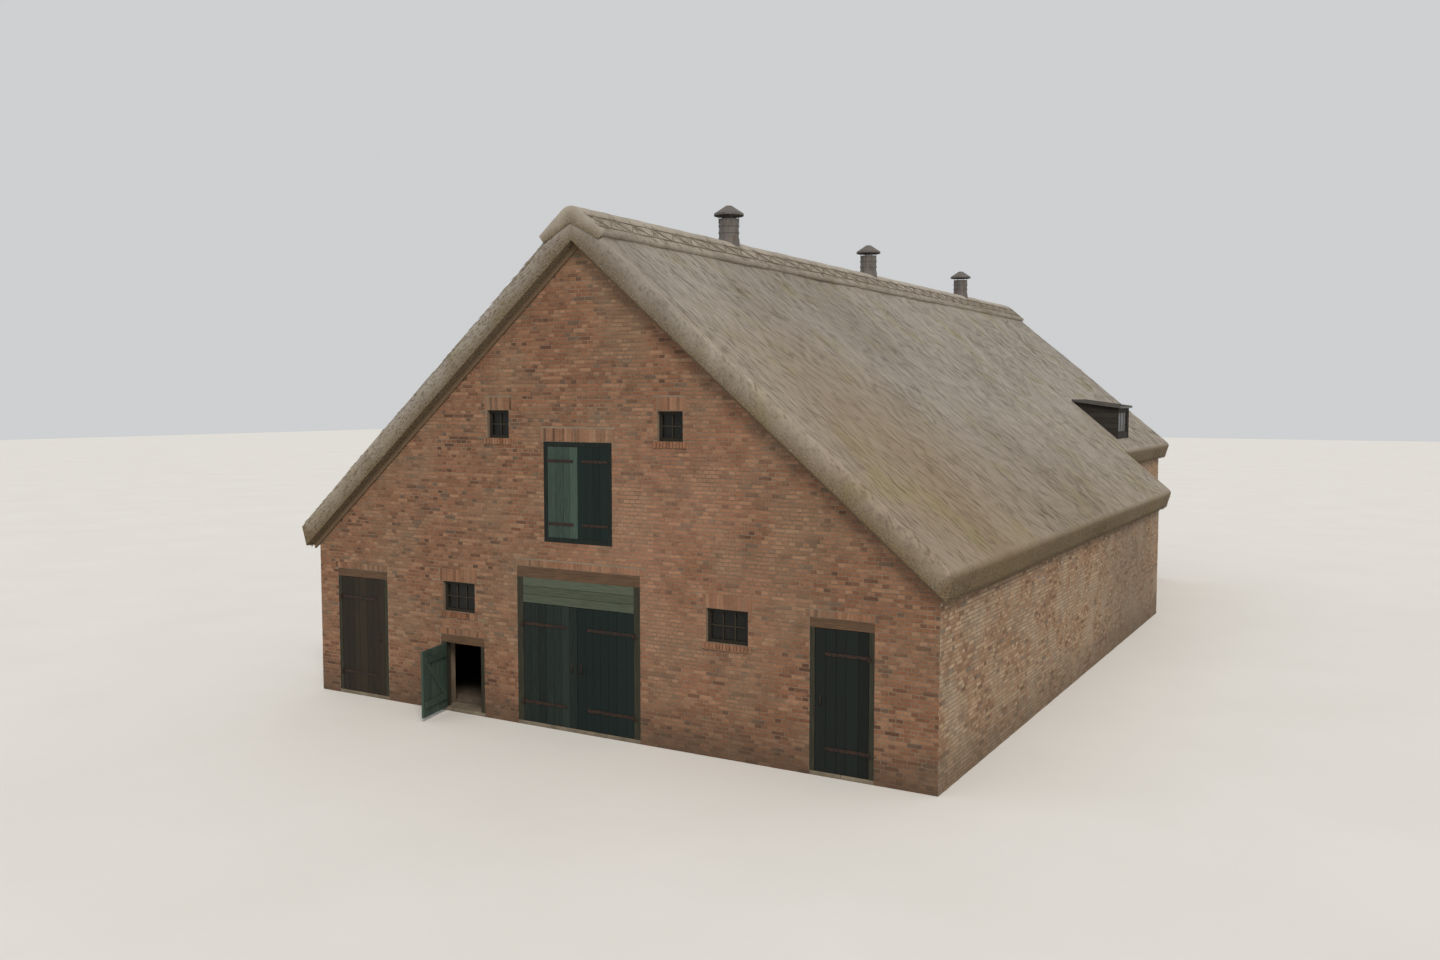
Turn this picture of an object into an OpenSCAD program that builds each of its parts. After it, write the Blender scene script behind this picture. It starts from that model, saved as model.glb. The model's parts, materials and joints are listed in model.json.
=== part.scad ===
// Long farm barn with brick walls under one steep thatched roof, seen from its wide front gable.
// X runs to the right along the front, Y runs from the front gable to the rear, Z is up.
// The origin is on the ground below the middle of the plan. All sizes are in millimetres.

/* [House] */
// Outer width of the wide barn part
house_w = 12000; // [11600:50:12600]
// Outer length of the whole house
house_l = 22400; // [21000:100:24000]
// Outer length of the narrower rear part
rear_l = 6400; // [5800:100:7000]
// Outer width of the narrower rear part
rear_w = 9700; // [9300:50:10100]
// Thickness of the brick walls
wall_t = 340; // [320:10:380]
// Thickness of the brickwork that runs up outside the wall plates
beam_fill = 120; // [110:5:130]
// Height of the low side walls at their outer face
eave_h = 2830; // [2780:10:3000]
// Thickness of the floor slab and of the thresholds
floor_t = 60; // [50:5:90]

/* [Roof] */
// Slope of the roof in degrees
roof_pitch = 40; // [38:0.5:42]
// Thickness of the thatch, square to the slope
thatch_t = 380; // [340:10:420]
// How far the thatch passes the side walls
eave_out = 200; // [160:10:260]
// How far the thatch's upper edge at the eaves leans out past its lower edge
eave_lean = 95; // [80:5:110]
// How far the thatch passes the gable walls
verge_out = 200; // [160:10:260]
// How far the lower thatch passes the shoulder walls
shoulder_out = 150; // [120:10:180]
// Radius of the thatch's upper edge at the eaves
eave_round = 120; // [80:10:150]
// Radius of the thatch's lower edge at the eaves
eave_foot_round = 40; // [30:5:50]
// Radius of the thatch's upper edge at the gables
verge_round = 90; // [60:10:120]
// Length of the ridge cap down each slope
cap_run = 620; // [540:20:700]
// Thickness of the ridge cap, square to the slope
cap_t = 70; // [60:5:90]
// Radius of the ridge cap's crest
cap_round = 250; // [200:10:300]
// Radius of the ridge cap's edges
cap_edge_round = 30; // [20:5:40]

/* [Doors] */
// Height of the barn doorway
barn_door_h = 2470; // [2400:10:2500]
// Middle of the barn doorway
barn_door_x = -95; // [-150:5:100]
// Width of the barn doorway in the brickwork
barn_door_w = 2450; // [2300:10:2500]
// Height of the fixed panel at the head of the barn doorway
head_panel_h = 420; // [380:10:460]
// Height of the left doorway
left_door_h = 2170; // [2100:10:2200]
// Width of the brick pier between the left corner and the left doorway
left_pier_w = 460; // [420:10:500]
// Width of the left doorway in the brickwork
left_door_w = 1240; // [1160:10:1280]
// Height of the right doorway
right_door_h = 2150; // [2100:10:2200]
// Width of the brick pier between the right corner and the right doorway
right_pier_w = 945; // [900:5:990]
// Width of the right doorway in the brickwork
right_door_w = 1000; // [960:10:1060]
// Height of the low doorway
low_door_h = 1200; // [1120:10:1240]
// Width of the brick pier between the low doorway and the barn doorway
low_pier_w = 730; // [690:10:780]
// Width of the low doorway in the brickwork
low_door_w = 980; // [940:10:1040]
// How far the low door stands open at rest, in degrees
low_door_rest = 76; // [70:1:80]
// Thickness of the door leaves' boards
leaf_t = 40; // [35:1:50]
// Thickness of the ledges at the back of the leaves
ledge_t = 28; // [22:1:32]
// Height of the ledges at the back of the leaves
ledge_h = 110; // [90:5:130]
// Gap between a leaf and its frame
leaf_gap = 8; // [7:1:12]
// Distance from the hinge pins to the front of the leaves
pin_off = 17; // [17:1:20]

/* [Timber] */
// Width of the barn doorway's side posts
barn_post_w = 120; // [100:5:140]
// Width of the small doorways' side posts
door_post_w = 80; // [70:5:100]
// Depth of the doorways' side posts
door_post_d = 140; // [120:5:180]
// Height of the beam over the barn doorway
barn_beam_h = 180; // [160:5:200]
// Height of the lintels over the small doorways
lintel_h = 140; // [120:5:160]
// Depth of the rafters, square to the slope
rafter_d = 140; // [120:5:160]
// Width of the rafters
rafter_w = 110; // [90:5:130]
// Distance between the rafter pairs
rafter_pitch = 1800; // [1700:20:1900]
// Side of the square frame posts
post_w = 220; // [200:5:240]
// Distance of the frame posts from the middle of the house
post_x = 3200; // [3100:20:3300]
// Number of frames along the house
frame_count = 5; // [4:1:6]
// Height of the tie beams' underside
tie_h = 3350; // [3300:10:3500]
// Depth of the tie beams
tie_d = 280; // [240:10:300]
// Depth of the tenons at the tie beams' ends
tenon_d = 160; // [140:10:180]
// Thickness of the tenons at the tie beams' ends
tenon_t = 64; // [56:2:70]
// How far the tenons pass through the posts
tenon_out = 150; // [130:5:180]
// Thickness of the wedges through the tenons
wedge_t = 26; // [22:1:30]
// Width of the wedges at their lower end
wedge_w = 34; // [30:1:38]
// How much wider the wedges are at their upper end
wedge_taper = 18; // [12:1:24]
// How far the wedges pass the tenons above and below
wedge_past = 75; // [60:5:90]
// Width of the purlins and of the wall plates
plate_w = 160; // [140:5:180]
// Least depth of the purlins and of the wall plates
plate_d = 120; // [100:5:140]
// Length of the braces along the post and along the tie beam
brace_run = 900; // [700:20:950]
// Height of the braces, measured along the post
brace_d = 190; // [160:5:220]
// Thickness of the braces
brace_t = 106; // [100:2:120]
// Thickness of the barge boards
barge_t = 40; // [30:1:50]
// Height of the barge boards
barge_h = 110; // [90:5:140]

/* [Openings] */
// Width of the front windows' openings
window_w = 720; // [640:10:760]
// Height of the front windows' openings
window_h = 520; // [460:10:560]
// Height of the front windows' sills
sill_z = 1745; // [1720:5:1780]
// How far the left window stands to the left of the low doorway's middle
left_window_off = 70; // [40:10:120]
// Width of the brickwork between the barn doorway and the right window
right_window_run = 1195; // [1150:5:1250]
// Width of the hay doorway
hay_door_w = 1350; // [1250:10:1400]
// Height of the hay doorway
hay_door_h = 1630; // [1550:10:1680]
// Height of the hay doorway's sill
hay_sill_z = 3080; // [3040:10:3120]
// How far the hay doorway stands to the right of the barn doorway's middle
hay_door_off = 30; // [0:5:60]
// Side of the square vent windows high in the gable
vent_w = 460; // [400:10:500]
// Height of the vent windows' middle
vent_z = 4980; // [4940:10:5040]
// Distance of the vent windows from the middle of the house
vent_x = 1690; // [1650:10:1750]
// Width of the window frames' members
sash_w = 50; // [40:5:60]
// Depth of the window frames
sash_d = 70; // [60:5:90]
// How far windows stand back from the wall's face
reveal = 60; // [40:5:90]
// Thickness of the glass
glass_t = 6; // [4:1:8]

/* [Ridge ventilators and dormer] */
// Number of ridge ventilators
ventilator_count = 3; // [2:1:4]
// Distance between the ridge ventilators
ventilator_pitch = 6750; // [6200:50:7000]
// Place of the middle ridge ventilator along the house
ventilator_y = 300; // [100:50:500]
// Outer radius of the ventilator pipes
ventilator_r = 190; // [170:5:210]
// Thickness of the ventilators' metal
ventilator_t = 8; // [6:1:12]
// Height of the ventilator hoods' rims above the ridge
ventilator_h = 430; // [380:10:460]
// Height of the gap between the ventilator pipes and their hoods' rims
hood_gap = 60; // [50:5:80]
// Radius of the ventilator hoods
hood_r = 285; // [260:5:310]
// Height of the ventilator hoods
hood_h = 190; // [160:5:210]
// Distance of the dormer's middle behind the step where the house narrows
dormer_off = 1500; // [1400:50:1700]
// Width of the dormer
dormer_w = 1300; // [1200:20:1400]
// Distance of the dormer's face from the middle of the house
dormer_x = 4780; // [4700:10:4800]
// Height of the dormer's face above the thatch
dormer_h = 820; // [760:10:880]
// Slope of the dormer's roof in degrees
dormer_pitch = 8; // [6:0.5:10]
// Thickness of the dormer's boards
dormer_t = 40; // [30:1:50]
// Height of the dormer window above the thatch
dormer_sill_h = 150; // [130:5:180]
// Height of the boards over the dormer window
dormer_head_h = 90; // [70:5:110]
// Width of the boards beside the dormer window
dormer_stile_w = 80; // [60:5:100]
// How far the dormer's roof passes its face and its cheeks
dormer_lip = 90; // [70:5:110]
// Length of the thatch kept under the upper end of the dormer's roof
dormer_tuck = 300; // [250:10:350]

/* [Hinges] */
// Radius of the hinge pins
pin_r = 9; // [8:0.5:10]
// Clearance of the hinge eyes around their pins
pin_gap = 0.3; // [0.2:0.1:0.4]
// Thickness of the strap hinges
strap_t = 7; // [6:0.5:8]
// Height of the strap hinges
strap_h = 50; // [40:2:60]
// Share of a leaf's width that its strap hinges reach
strap_reach = 0.82; // [0.7:0.01:0.88]
// Height of the hinge lugs under the eyes
lug_h = 26; // [20:1:32]
// How far the hinge lugs stand out around the pins
lug_wall = 1.5; // [1:0.5:2.5]
// Length of the hinge lugs' plates on the door posts
lug_plate_l = 70; // [55:5:75]
// Height of the pins above the eyes
pin_tip = 12; // [8:1:16]

/* [Hidden] */

// Clearance between pieces that seat on each other
seat = 0.3;
// How far a cut passes the faces that it opens
cut = 10;
// Steps of a rounded corner
arc_steps = 6;

left_door_x = -house_w / 2 + left_pier_w + left_door_w / 2;
right_door_x = house_w / 2 - right_pier_w - right_door_w / 2;
low_door_x = barn_door_x - barn_door_w / 2 - low_pier_w - low_door_w / 2;
left_window_x = low_door_x - left_window_off;
right_window_x = barn_door_x + barn_door_w / 2 + right_window_run + window_w / 2;
hay_door_x = barn_door_x + hay_door_off;
front_y = -house_l / 2;
rear_y = house_l / 2;
shoulder_y = rear_y - rear_l;
dormer_y = shoulder_y + dormer_off;
inner_x = house_w / 2 - wall_t;
rear_inner_x = rear_w / 2 - wall_t;
storey_h = barn_door_h + barn_beam_h;
run = tan(roof_pitch);
thatch_v = thatch_t / cos(roof_pitch);
rafter_v = rafter_d / cos(roof_pitch);

// Height of the thatch's underside at a distance x from the middle.
function under(x) = eave_h + run * (house_w / 2 - abs(x));
// Height of the rafters' underside at a distance x from the middle.
function rafter_under(x) = under(x) - rafter_v - seat;

function unit(v) = v / norm(v);
// Points of one corner p between its neighbours a and b, rounded with radius r.
function corner(a, p, b, r) = r == 0 ? [p] :
    let (u = unit(a - p), v = unit(b - p), half = acos(u * v) / 2, c = p + unit(u + v) * r / sin(half),
        s = p + u * r / tan(half) - c, e = p + v * r / tan(half) - c, first = atan2(s.y, s.x),
        turn = atan2(s.x * e.y - s.y * e.x, s * e))
    [for (i = [0:arc_steps]) let (a = first + turn * i / arc_steps) c + r * [cos(a), sin(a)]];
// Outline through the points, each corner rounded with its own radius.
function rounded(points, radii) = let (n = len(points))
    [for (i = [0:n - 1]) each corner(points[(i + n - 1) % n], points[i], points[(i + 1) % n], radii[i])];

// Extrudes an outline drawn in X and Z along Y, from y0 to y1.
module along_y(y0, y1) {
    translate([0, y1, 0]) rotate([90, 0, 0]) linear_extrude(y1 - y0) children();
}

// Box between two corners.
module block(low, high) {
    translate(low) cube(high - low);
}

// The same piece on the left and on the right.
module both_sides() {
    children();
    mirror([1, 0, 0]) children();
}

module left_side() {
    mirror([1, 0, 0]) children();
}

brick = "#8a6a54";
thatch = "#8f867a";
oak = "#6a5a48";
door_green = "#26302c";

// Opening edges of the front wall
left_door = [left_door_x - left_door_w / 2, left_door_x + left_door_w / 2];
low_door = [low_door_x - low_door_w / 2, low_door_x + low_door_w / 2];
barn_door = [barn_door_x - barn_door_w / 2, barn_door_x + barn_door_w / 2];
right_door = [right_door_x - right_door_w / 2, right_door_x + right_door_w / 2];
hay_door = [hay_door_x - hay_door_w / 2, hay_door_x + hay_door_w / 2];
low_head = low_door_h + lintel_h;

// Piece of the front wall between two X and two Z values.
module front_piece(x0, x1, z0, z1) {
    block([x0, front_y, z0], [x1, front_y + wall_t, z1]);
}

// Hole through the front wall for a window.
module window_hole(x) {
    block([x - window_w / 2, front_y - cut, sill_z],
        [x + window_w / 2, front_y + wall_t + cut, sill_z + window_h]);
}

module floor() {
    color("#8b857b") block([-inner_x, front_y + wall_t, 0], [inner_x, shoulder_y - wall_t, floor_t]);
}

module rear_floor() {
    color("#8b857b") block([-rear_inner_x, shoulder_y - wall_t, 0], [rear_inner_x, rear_y - wall_t, floor_t]);
}

module thresholds() {
    color("#7d776c") for (d = [left_door, low_door, barn_door, right_door])
        front_piece(d[0], d[1], 0, floor_t);
}

module left_corner_pier() {
    color(brick) front_piece(-house_w / 2, left_door[0], 0, storey_h);
}

module right_corner_pier() {
    color(brick) front_piece(right_door[1], house_w / 2, 0, storey_h);
}

module front_left_lower_walls() {
    color(brick) {
        front_piece(left_door[1], low_door[0], 0, low_head);
        front_piece(low_door[1], barn_door[0], 0, low_head);
    }
}

module front_left_upper_wall() {
    color(brick) difference() {
        front_piece(left_door[1], barn_door[0], low_head, storey_h);
        window_hole(left_window_x);
    }
}

module front_right_wall() {
    color(brick) difference() {
        front_piece(barn_door[1], right_door[0], 0, storey_h);
        window_hole(right_window_x);
    }
}

module front_door_heads() {
    color(brick) {
        front_piece(left_door[0], left_door[1], left_door_h + lintel_h, storey_h);
        front_piece(right_door[0], right_door[1], right_door_h + lintel_h, storey_h);
    }
}

// Square hole through a gable for a vent window.
module vent_hole(x, y) {
    block([x - vent_w / 2, y - cut, vent_z - vent_w / 2],
        [x + vent_w / 2, y + wall_t + cut, vent_z + vent_w / 2]);
}

module front_gable_left() {
    color(brick) difference() {
        along_y(front_y, front_y + wall_t) polygon([[-house_w / 2, storey_h], [hay_door[0], storey_h],
            [hay_door[0], under(hay_door[0]) - seat], [-house_w / 2, under(house_w / 2) - seat]]);
        vent_hole(-vent_x, front_y);
    }
}

module front_gable_right() {
    color(brick) difference() {
        along_y(front_y, front_y + wall_t) polygon([[hay_door[1], storey_h], [house_w / 2, storey_h],
            [house_w / 2, under(house_w / 2) - seat], [hay_door[1], under(hay_door[1]) - seat]]);
        vent_hole(vent_x, front_y);
    }
}

module front_gable_middle() {
    color(brick) {
        front_piece(hay_door[0], hay_door[1], storey_h, hay_sill_z);
        along_y(front_y, front_y + wall_t) polygon([[hay_door[0], hay_sill_z + hay_door_h],
            [hay_door[1], hay_sill_z + hay_door_h], [hay_door[1], under(hay_door[1]) - seat],
            [0, under(0) - seat], [hay_door[0], under(hay_door[0]) - seat]]);
    }
}

// Section of a right side wall, outer face at x: brick up to the thatch outside and to the plate inside.
function side_section(x) = [[x - wall_t, 0], [x, 0], [x, under(x) - seat],
    [x - beam_fill, under(x - beam_fill) - seat], [x - beam_fill, rafter_under(x - beam_fill) - plate_d],
    [x - wall_t, rafter_under(x - beam_fill) - plate_d]];

module right_side_wall() {
    color(brick) along_y(front_y + wall_t, shoulder_y) polygon(side_section(house_w / 2));
}

module left_side_wall() {
    left_side() right_side_wall();
}

module right_shoulder_wall() {
    color(brick) along_y(shoulder_y - wall_t, shoulder_y) polygon([[rear_inner_x, 0], [inner_x, 0],
        [inner_x, rafter_under(inner_x)], [rear_inner_x, rafter_under(rear_inner_x)]]);
}

module left_shoulder_wall() {
    left_side() right_shoulder_wall();
}

module right_rear_wall() {
    color(brick) along_y(shoulder_y, rear_y - wall_t) polygon(side_section(rear_w / 2));
}

module left_rear_wall() {
    left_side() right_rear_wall();
}

module rear_gable_wall() {
    color(brick) difference() {
        block([-rear_w / 2, rear_y - wall_t, 0], [rear_w / 2, rear_y, storey_h]);
        for (x = [left_window_x, right_window_x]) translate([0, house_l - wall_t, 0]) window_hole(x);
    }
}

module rear_gable_top() {
    color(brick) difference() {
        along_y(rear_y - wall_t, rear_y) polygon([[-rear_w / 2, storey_h], [rear_w / 2, storey_h],
            [rear_w / 2, under(rear_w / 2) - seat], [0, under(0) - seat],
            [-rear_w / 2, under(rear_w / 2) - seat]]);
        for (x = [-vent_x, vent_x]) vent_hole(x, rear_y - wall_t);
    }
}

// Section of a timber that carries the rafters, its outer edge at x and its top cut to the slope.
function plate_section(x) = [[x - plate_w, rafter_under(x) - plate_d], [x, rafter_under(x) - plate_d],
    [x, rafter_under(x) - seat], [x - plate_w, rafter_under(x - plate_w) - seat]];

module wall_plates() {
    color(oak) both_sides() {
        along_y(front_y + wall_t, shoulder_y) polygon(plate_section(house_w / 2 - beam_fill));
        along_y(shoulder_y, rear_y - wall_t) polygon(plate_section(rear_w / 2 - beam_fill));
    }
}

frame_pitch = (house_l - 2 * wall_t) / (frame_count + 1);
frame_ys = [for (i = [1:frame_count]) front_y + wall_t + i * frame_pitch];
purlin_x = post_x + plate_w / 2;
purlin_base = rafter_under(purlin_x) - plate_d;

post_in = post_x - post_w / 2;
post_outer = post_x + post_w / 2;
tenon_z = tie_h + (tie_d - tenon_d) / 2;
tenon_end = post_outer + tenon_out;

wedge_low = tenon_z - wedge_past;
wedge_high = tenon_z + tenon_d + wedge_past;

// Section of a wedge, upright against the post and tapered on its outer edge, or of its hole with some room.
function wedge_section(room) = let (inner = post_outer - room, outer = post_outer + wedge_w + room)
    [[inner, wedge_low - room], [outer, wedge_low - room], [outer + wedge_taper, wedge_high + room],
    [inner, wedge_high + room]];

module frame_posts() {
    color(oak) both_sides() for (y = frame_ys) difference() {
        block([post_in, y - post_w / 2, floor_t], [post_outer, y + post_w / 2, purlin_base]);
        block([post_in - cut, y - tenon_t / 2 - seat, tenon_z - seat],
            [post_outer + cut, y + tenon_t / 2 + seat, tenon_z + tenon_d + seat]);
    }
}

module tie_beams() {
    color(oak) for (y = frame_ys) difference() {
        union() {
            block([-post_in, y - plate_w / 2, tie_h], [post_in, y + plate_w / 2, tie_h + tie_d]);
            block([-tenon_end, y - tenon_t / 2, tenon_z], [tenon_end, y + tenon_t / 2, tenon_z + tenon_d]);
        }
        both_sides() along_y(y - wedge_t / 2 - seat, y + wedge_t / 2 + seat) polygon(wedge_section(seat));
    }
}

module tenon_wedges() {
    color(oak) both_sides() for (y = frame_ys)
        along_y(y - wedge_t / 2, y + wedge_t / 2) translate([seat, 0]) polygon(wedge_section(0));
}

module post_braces() {
    foot = tie_h - brace_run;
    head = post_in - brace_run;
    color(oak) both_sides() for (y = frame_ys) along_y(y - brace_t / 2, y + brace_t / 2)
        polygon([[post_in, foot], [post_in, foot + brace_d], [head + brace_d, tie_h], [head, tie_h]]);
}

module purlins() {
    color(oak) both_sides() along_y(front_y + wall_t, rear_y - wall_t) polygon(plate_section(purlin_x));
}

// Rafter pairs stand evenly on both sides of the dormer, as far as the gables leave room.
rafter_room = wall_t + rafter_w;
rafter_first = -floor((dormer_y - front_y - rafter_room) / rafter_pitch - 0.5) - 1;
rafter_last = floor((rear_y - rafter_room - dormer_y) / rafter_pitch - 0.5);
rafter_ys = [for (i = [rafter_first:rafter_last]) dormer_y + (i + 0.5) * rafter_pitch];

module right_rafters() {
    color(oak) for (y = rafter_ys) {
        foot = (y < shoulder_y ? house_w / 2 : rear_w / 2) - beam_fill - seat;
        along_y(y - rafter_w / 2, y + rafter_w / 2) polygon([[seat / 2, rafter_under(0)],
            [foot, rafter_under(foot)], [foot, under(foot) - seat], [seat / 2, under(0) - seat]]);
    }
}

module left_rafters() {
    left_side() right_rafters();
}

// Outline of the right-hand thatch over a wall whose outer face is at x.
function thatch_section(x) = let (low = x + eave_out, high = low + eave_lean)
    rounded([[seat / 2, under(0)], [low, under(low)], [high, under(high) + thatch_v],
        [seat / 2, under(0) + thatch_v]], [0, eave_foot_round, eave_round, 0]);

barn_end = shoulder_y + shoulder_out;

// Right-hand thatch over a wall whose outer face is at x, its upper edges at the ends rounded with r0 and r1.
module thatch_slab(x, y0, y1, r0, r1) {
    reach = house_w;
    ends = rounded([[y0, -reach], [y1, -reach], [y1, thatch_t], [y0, thatch_t]], [0, 0, r1, r0]);
    intersection() {
        along_y(y0, y1) polygon(thatch_section(x));
        translate([0, 0, under(0)]) rotate([0, roof_pitch, 0]) translate([-reach, 0, 0]) rotate([90, 0, 90])
            linear_extrude(2 * reach) polygon(ends);
    }
}

module barn_thatch_right() {
    color(thatch) thatch_slab(house_w / 2, front_y - verge_out, barn_end, verge_round, 0);
}

module barn_thatch_left() {
    left_side() barn_thatch_right();
}

// The rear thatch without the dormer's opening.
module rear_slab() {
    thatch_slab(rear_w / 2, barn_end, rear_y + verge_out, 0, verge_round);
}

module rear_thatch_right() {
    color(thatch) difference() {
        rear_slab();
        block([dormer_back + dormer_tuck, dormer_y - dormer_clear / 2, 0],
            [dormer_sill_x, dormer_y + dormer_clear / 2, ridge_top]);
    }
}

module rear_thatch_left() {
    color(thatch) left_side() rear_slab();
}

cap_v = cap_t / cos(roof_pitch);

module ridge_cap() {
    top = under(0) + thatch_v + seat;
    color("#978e80") along_y(front_y - verge_out, rear_y + verge_out) polygon(rounded([
        [cap_run, top - run * cap_run], [cap_run, top - run * cap_run + cap_v], [0, top + cap_v],
        [-cap_run, top - run * cap_run + cap_v], [-cap_run, top - run * cap_run], [0, top]],
        [0, cap_edge_round, cap_round, cap_edge_round, 0, 0]));
}

module barge_boards() {
    color("#4b3a2e") both_sides() along_y(front_y - barge_t, front_y) {
        foot = house_w / 2 + eave_out / 2;
        polygon([[seat, under(0) - seat], [foot, under(foot) - seat], [foot, under(foot) - seat - barge_h],
            [seat, under(0) - seat - barge_h]]);
    }
}

ventilator_ys = [for (i = [0:ventilator_count - 1])
    ventilator_y + (i - (ventilator_count - 1) / 2) * ventilator_pitch];
ridge_top = under(0) + thatch_v + seat + cap_v;
hood_z = ridge_top + ventilator_h;

// The pipes' lower ends are cut to the slopes of the ridge cap.
module ventilator_pipes() {
    skirt = run * ventilator_r;
    slope_low = ridge_top - run * cap_run;
    half = ventilator_r + cut;
    color("#6b6764") for (y = ventilator_ys) difference() {
        translate([0, y, ridge_top - skirt])
            cylinder(h = skirt + ventilator_h - hood_gap, r = ventilator_r, $fn = 48);
        translate([0, y, ridge_top - skirt - cut])
            cylinder(h = skirt + ventilator_h, r = ventilator_r - ventilator_t, $fn = 48);
        along_y(y - half, y + half) polygon([[-cap_run, slope_low], [0, ridge_top], [cap_run, slope_low],
            [cap_run, 0], [-cap_run, 0]]);
    }
}

hood_rim = 40;
hood_crown = 60;

// Height of a hood's outer face above its rim at a distance r from its middle.
function hood_face(r) = hood_rim + (hood_r - r) * (hood_h - hood_rim) / (hood_r - hood_crown);

module ventilator_hoods() {
    stay = 14;
    stay_low = 150;
    stay_r = ventilator_r + stay / 2 + seat;
    inner_r = hood_r - ventilator_t;
    color("#605d5b") for (y = ventilator_ys) translate([0, y, hood_z]) {
        rotate_extrude($fn = 48) polygon([[inner_r, 0], [hood_r, 0], [hood_r, hood_rim], [hood_crown, hood_h],
            [0, hood_h], [0, hood_h - ventilator_t], [hood_crown - ventilator_t, hood_h - ventilator_t],
            [inner_r, hood_rim - ventilator_t]]);
        for (a = [45:90:315]) rotate([0, 0, a]) translate([stay_r, 0, -stay_low])
            cylinder(h = stay_low + hood_face(stay_r + stay) - seat, d = stay, $fn = 16);
    }
}

dormer_foot = under(dormer_x) + thatch_v + seat;
dormer_top = dormer_foot + dormer_h;
dormer_run = tan(dormer_pitch);
dormer_back = (dormer_top - (under(0) + thatch_v) + dormer_run * dormer_x) / (dormer_run - run);
dormer_clear = dormer_w - 2 * dormer_t;
dormer_sill_x = rear_w / 2 - beam_fill - plate_w - seat;
dormer_low = dormer_foot + dormer_sill_h;
dormer_glass_w = dormer_clear - 2 * dormer_stile_w;
dormer_glass_h = dormer_h - dormer_sill_h - dormer_head_h;

// Height of the dormer roof's underside at a distance x from the middle of the house.
function dormer_under(x) = dormer_top + dormer_run * (dormer_x - x);

module dormer_cheeks() {
    back = dormer_back + dormer_t;
    color("#3a3632") for (y = [dormer_y - dormer_w / 2, dormer_y + dormer_w / 2 - dormer_t])
        along_y(y, y + dormer_t) polygon([[dormer_x, dormer_foot], [dormer_x, dormer_top],
            [back, dormer_under(back)], [back, under(back) + thatch_v + seat]]);
}

module dormer_front() {
    color("#3a3632") difference() {
        along_y(dormer_y - dormer_clear / 2, dormer_y + dormer_clear / 2) polygon([[dormer_x, dormer_foot],
            [dormer_x, dormer_top], [dormer_x - dormer_t, dormer_under(dormer_x - dormer_t)],
            [dormer_x - dormer_t, under(dormer_x - dormer_t) + thatch_v + seat]]);
        block([dormer_x - dormer_t - cut, dormer_y - dormer_glass_w / 2, dormer_low],
            [dormer_x + cut, dormer_y + dormer_glass_w / 2, dormer_low + dormer_glass_h]);
    }
}

module dormer_roof() {
    edge = dormer_x + dormer_lip;
    half = dormer_w / 2 + dormer_lip;
    low = dormer_under(edge) + seat;
    high = dormer_under(dormer_back) + seat;
    color("#45413d") along_y(dormer_y - half, dormer_y + half)
        polygon([[edge, low], [edge, low + dormer_t], [dormer_back, high + dormer_t], [dormer_back, high]]);
}

// Block in the dormer window between two X values, held off the opening's edges by an inset.
module dormer_block(x0, x1, inset) {
    block([x0, dormer_y - dormer_glass_w / 2 + inset, dormer_low + inset],
        [x1, dormer_y + dormer_glass_w / 2 - inset, dormer_low + dormer_glass_h - inset]);
}

// Side posts of one doorway: its edges, its height and the width of the posts.
module post_pair(d, h, w) {
    block([d[0], front_y, floor_t], [d[0] + w, front_y + door_post_d, h]);
    block([d[1] - w, front_y, floor_t], [d[1], front_y + door_post_d, h]);
}

module door_posts() {
    color(oak) {
        post_pair(left_door, left_door_h, door_post_w);
        post_pair(low_door, low_door_h, door_post_w);
        post_pair(barn_door, barn_door_h, barn_post_w);
        post_pair(right_door, right_door_h, door_post_w);
    }
}

module door_lintels() {
    color(oak) {
        front_piece(left_door[0], left_door[1], left_door_h, left_door_h + lintel_h);
        front_piece(low_door[0], low_door[1], low_door_h, low_head);
        front_piece(barn_door[0], barn_door[1], barn_door_h, storey_h);
        front_piece(right_door[0], right_door[1], right_door_h, right_door_h + lintel_h);
    }
}

module barn_head_panel() {
    color("#4c5049") block([barn_door[0] + barn_post_w, front_y, barn_door_h - head_panel_h],
        [barn_door[1] - barn_post_w, front_y + leaf_t, barn_door_h]);
}

module hay_door_frame() {
    color(oak) difference() {
        block([hay_door[0], front_y, hay_sill_z],
            [hay_door[1], front_y + door_post_d, hay_sill_z + hay_door_h]);
        block([hay_door[0] + door_post_w, front_y - cut, hay_sill_z + door_post_w],
            [hay_door[1] - door_post_w, front_y + wall_t, hay_sill_z + hay_door_h - door_post_w]);
    }
}

// Two fixed leaves that meet in the middle of the hay doorway.
module hay_door_leaves() {
    low = hay_sill_z + door_post_w + seat;
    high = hay_sill_z + hay_door_h - door_post_w - seat;
    color("#3b4a45") {
        block([hay_door[0] + door_post_w + seat, front_y, low],
            [hay_door_x - seat / 2, front_y + leaf_t, high]);
        block([hay_door_x + seat / 2, front_y, low],
            [hay_door[1] - door_post_w - seat, front_y + leaf_t, high]);
    }
}

// Frame of one window with its outer face at y: the opening's middle x, its sill z, its width and its height.
module sash(x, z, w, h, y) {
    difference() {
        block([x - w / 2, y, z], [x + w / 2, y + sash_d, z + h]);
        block([x - w / 2 + sash_w, y - cut, z + sash_w],
            [x + w / 2 - sash_w, y + sash_d + cut, z + h - sash_w]);
    }
}

// Glass of the same window, in the middle of the frame's depth.
module pane(x, z, w, h, y) {
    front = y + (sash_d - glass_t) / 2;
    block([x - w / 2 + sash_w, front, z + sash_w], [x + w / 2 - sash_w, front + glass_t, z + h - sash_w]);
}

front_sash_y = front_y + reveal;
rear_sash_y = rear_y - reveal - sash_d;
dormer_sash_x = dormer_x - dormer_t / 2;

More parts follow.
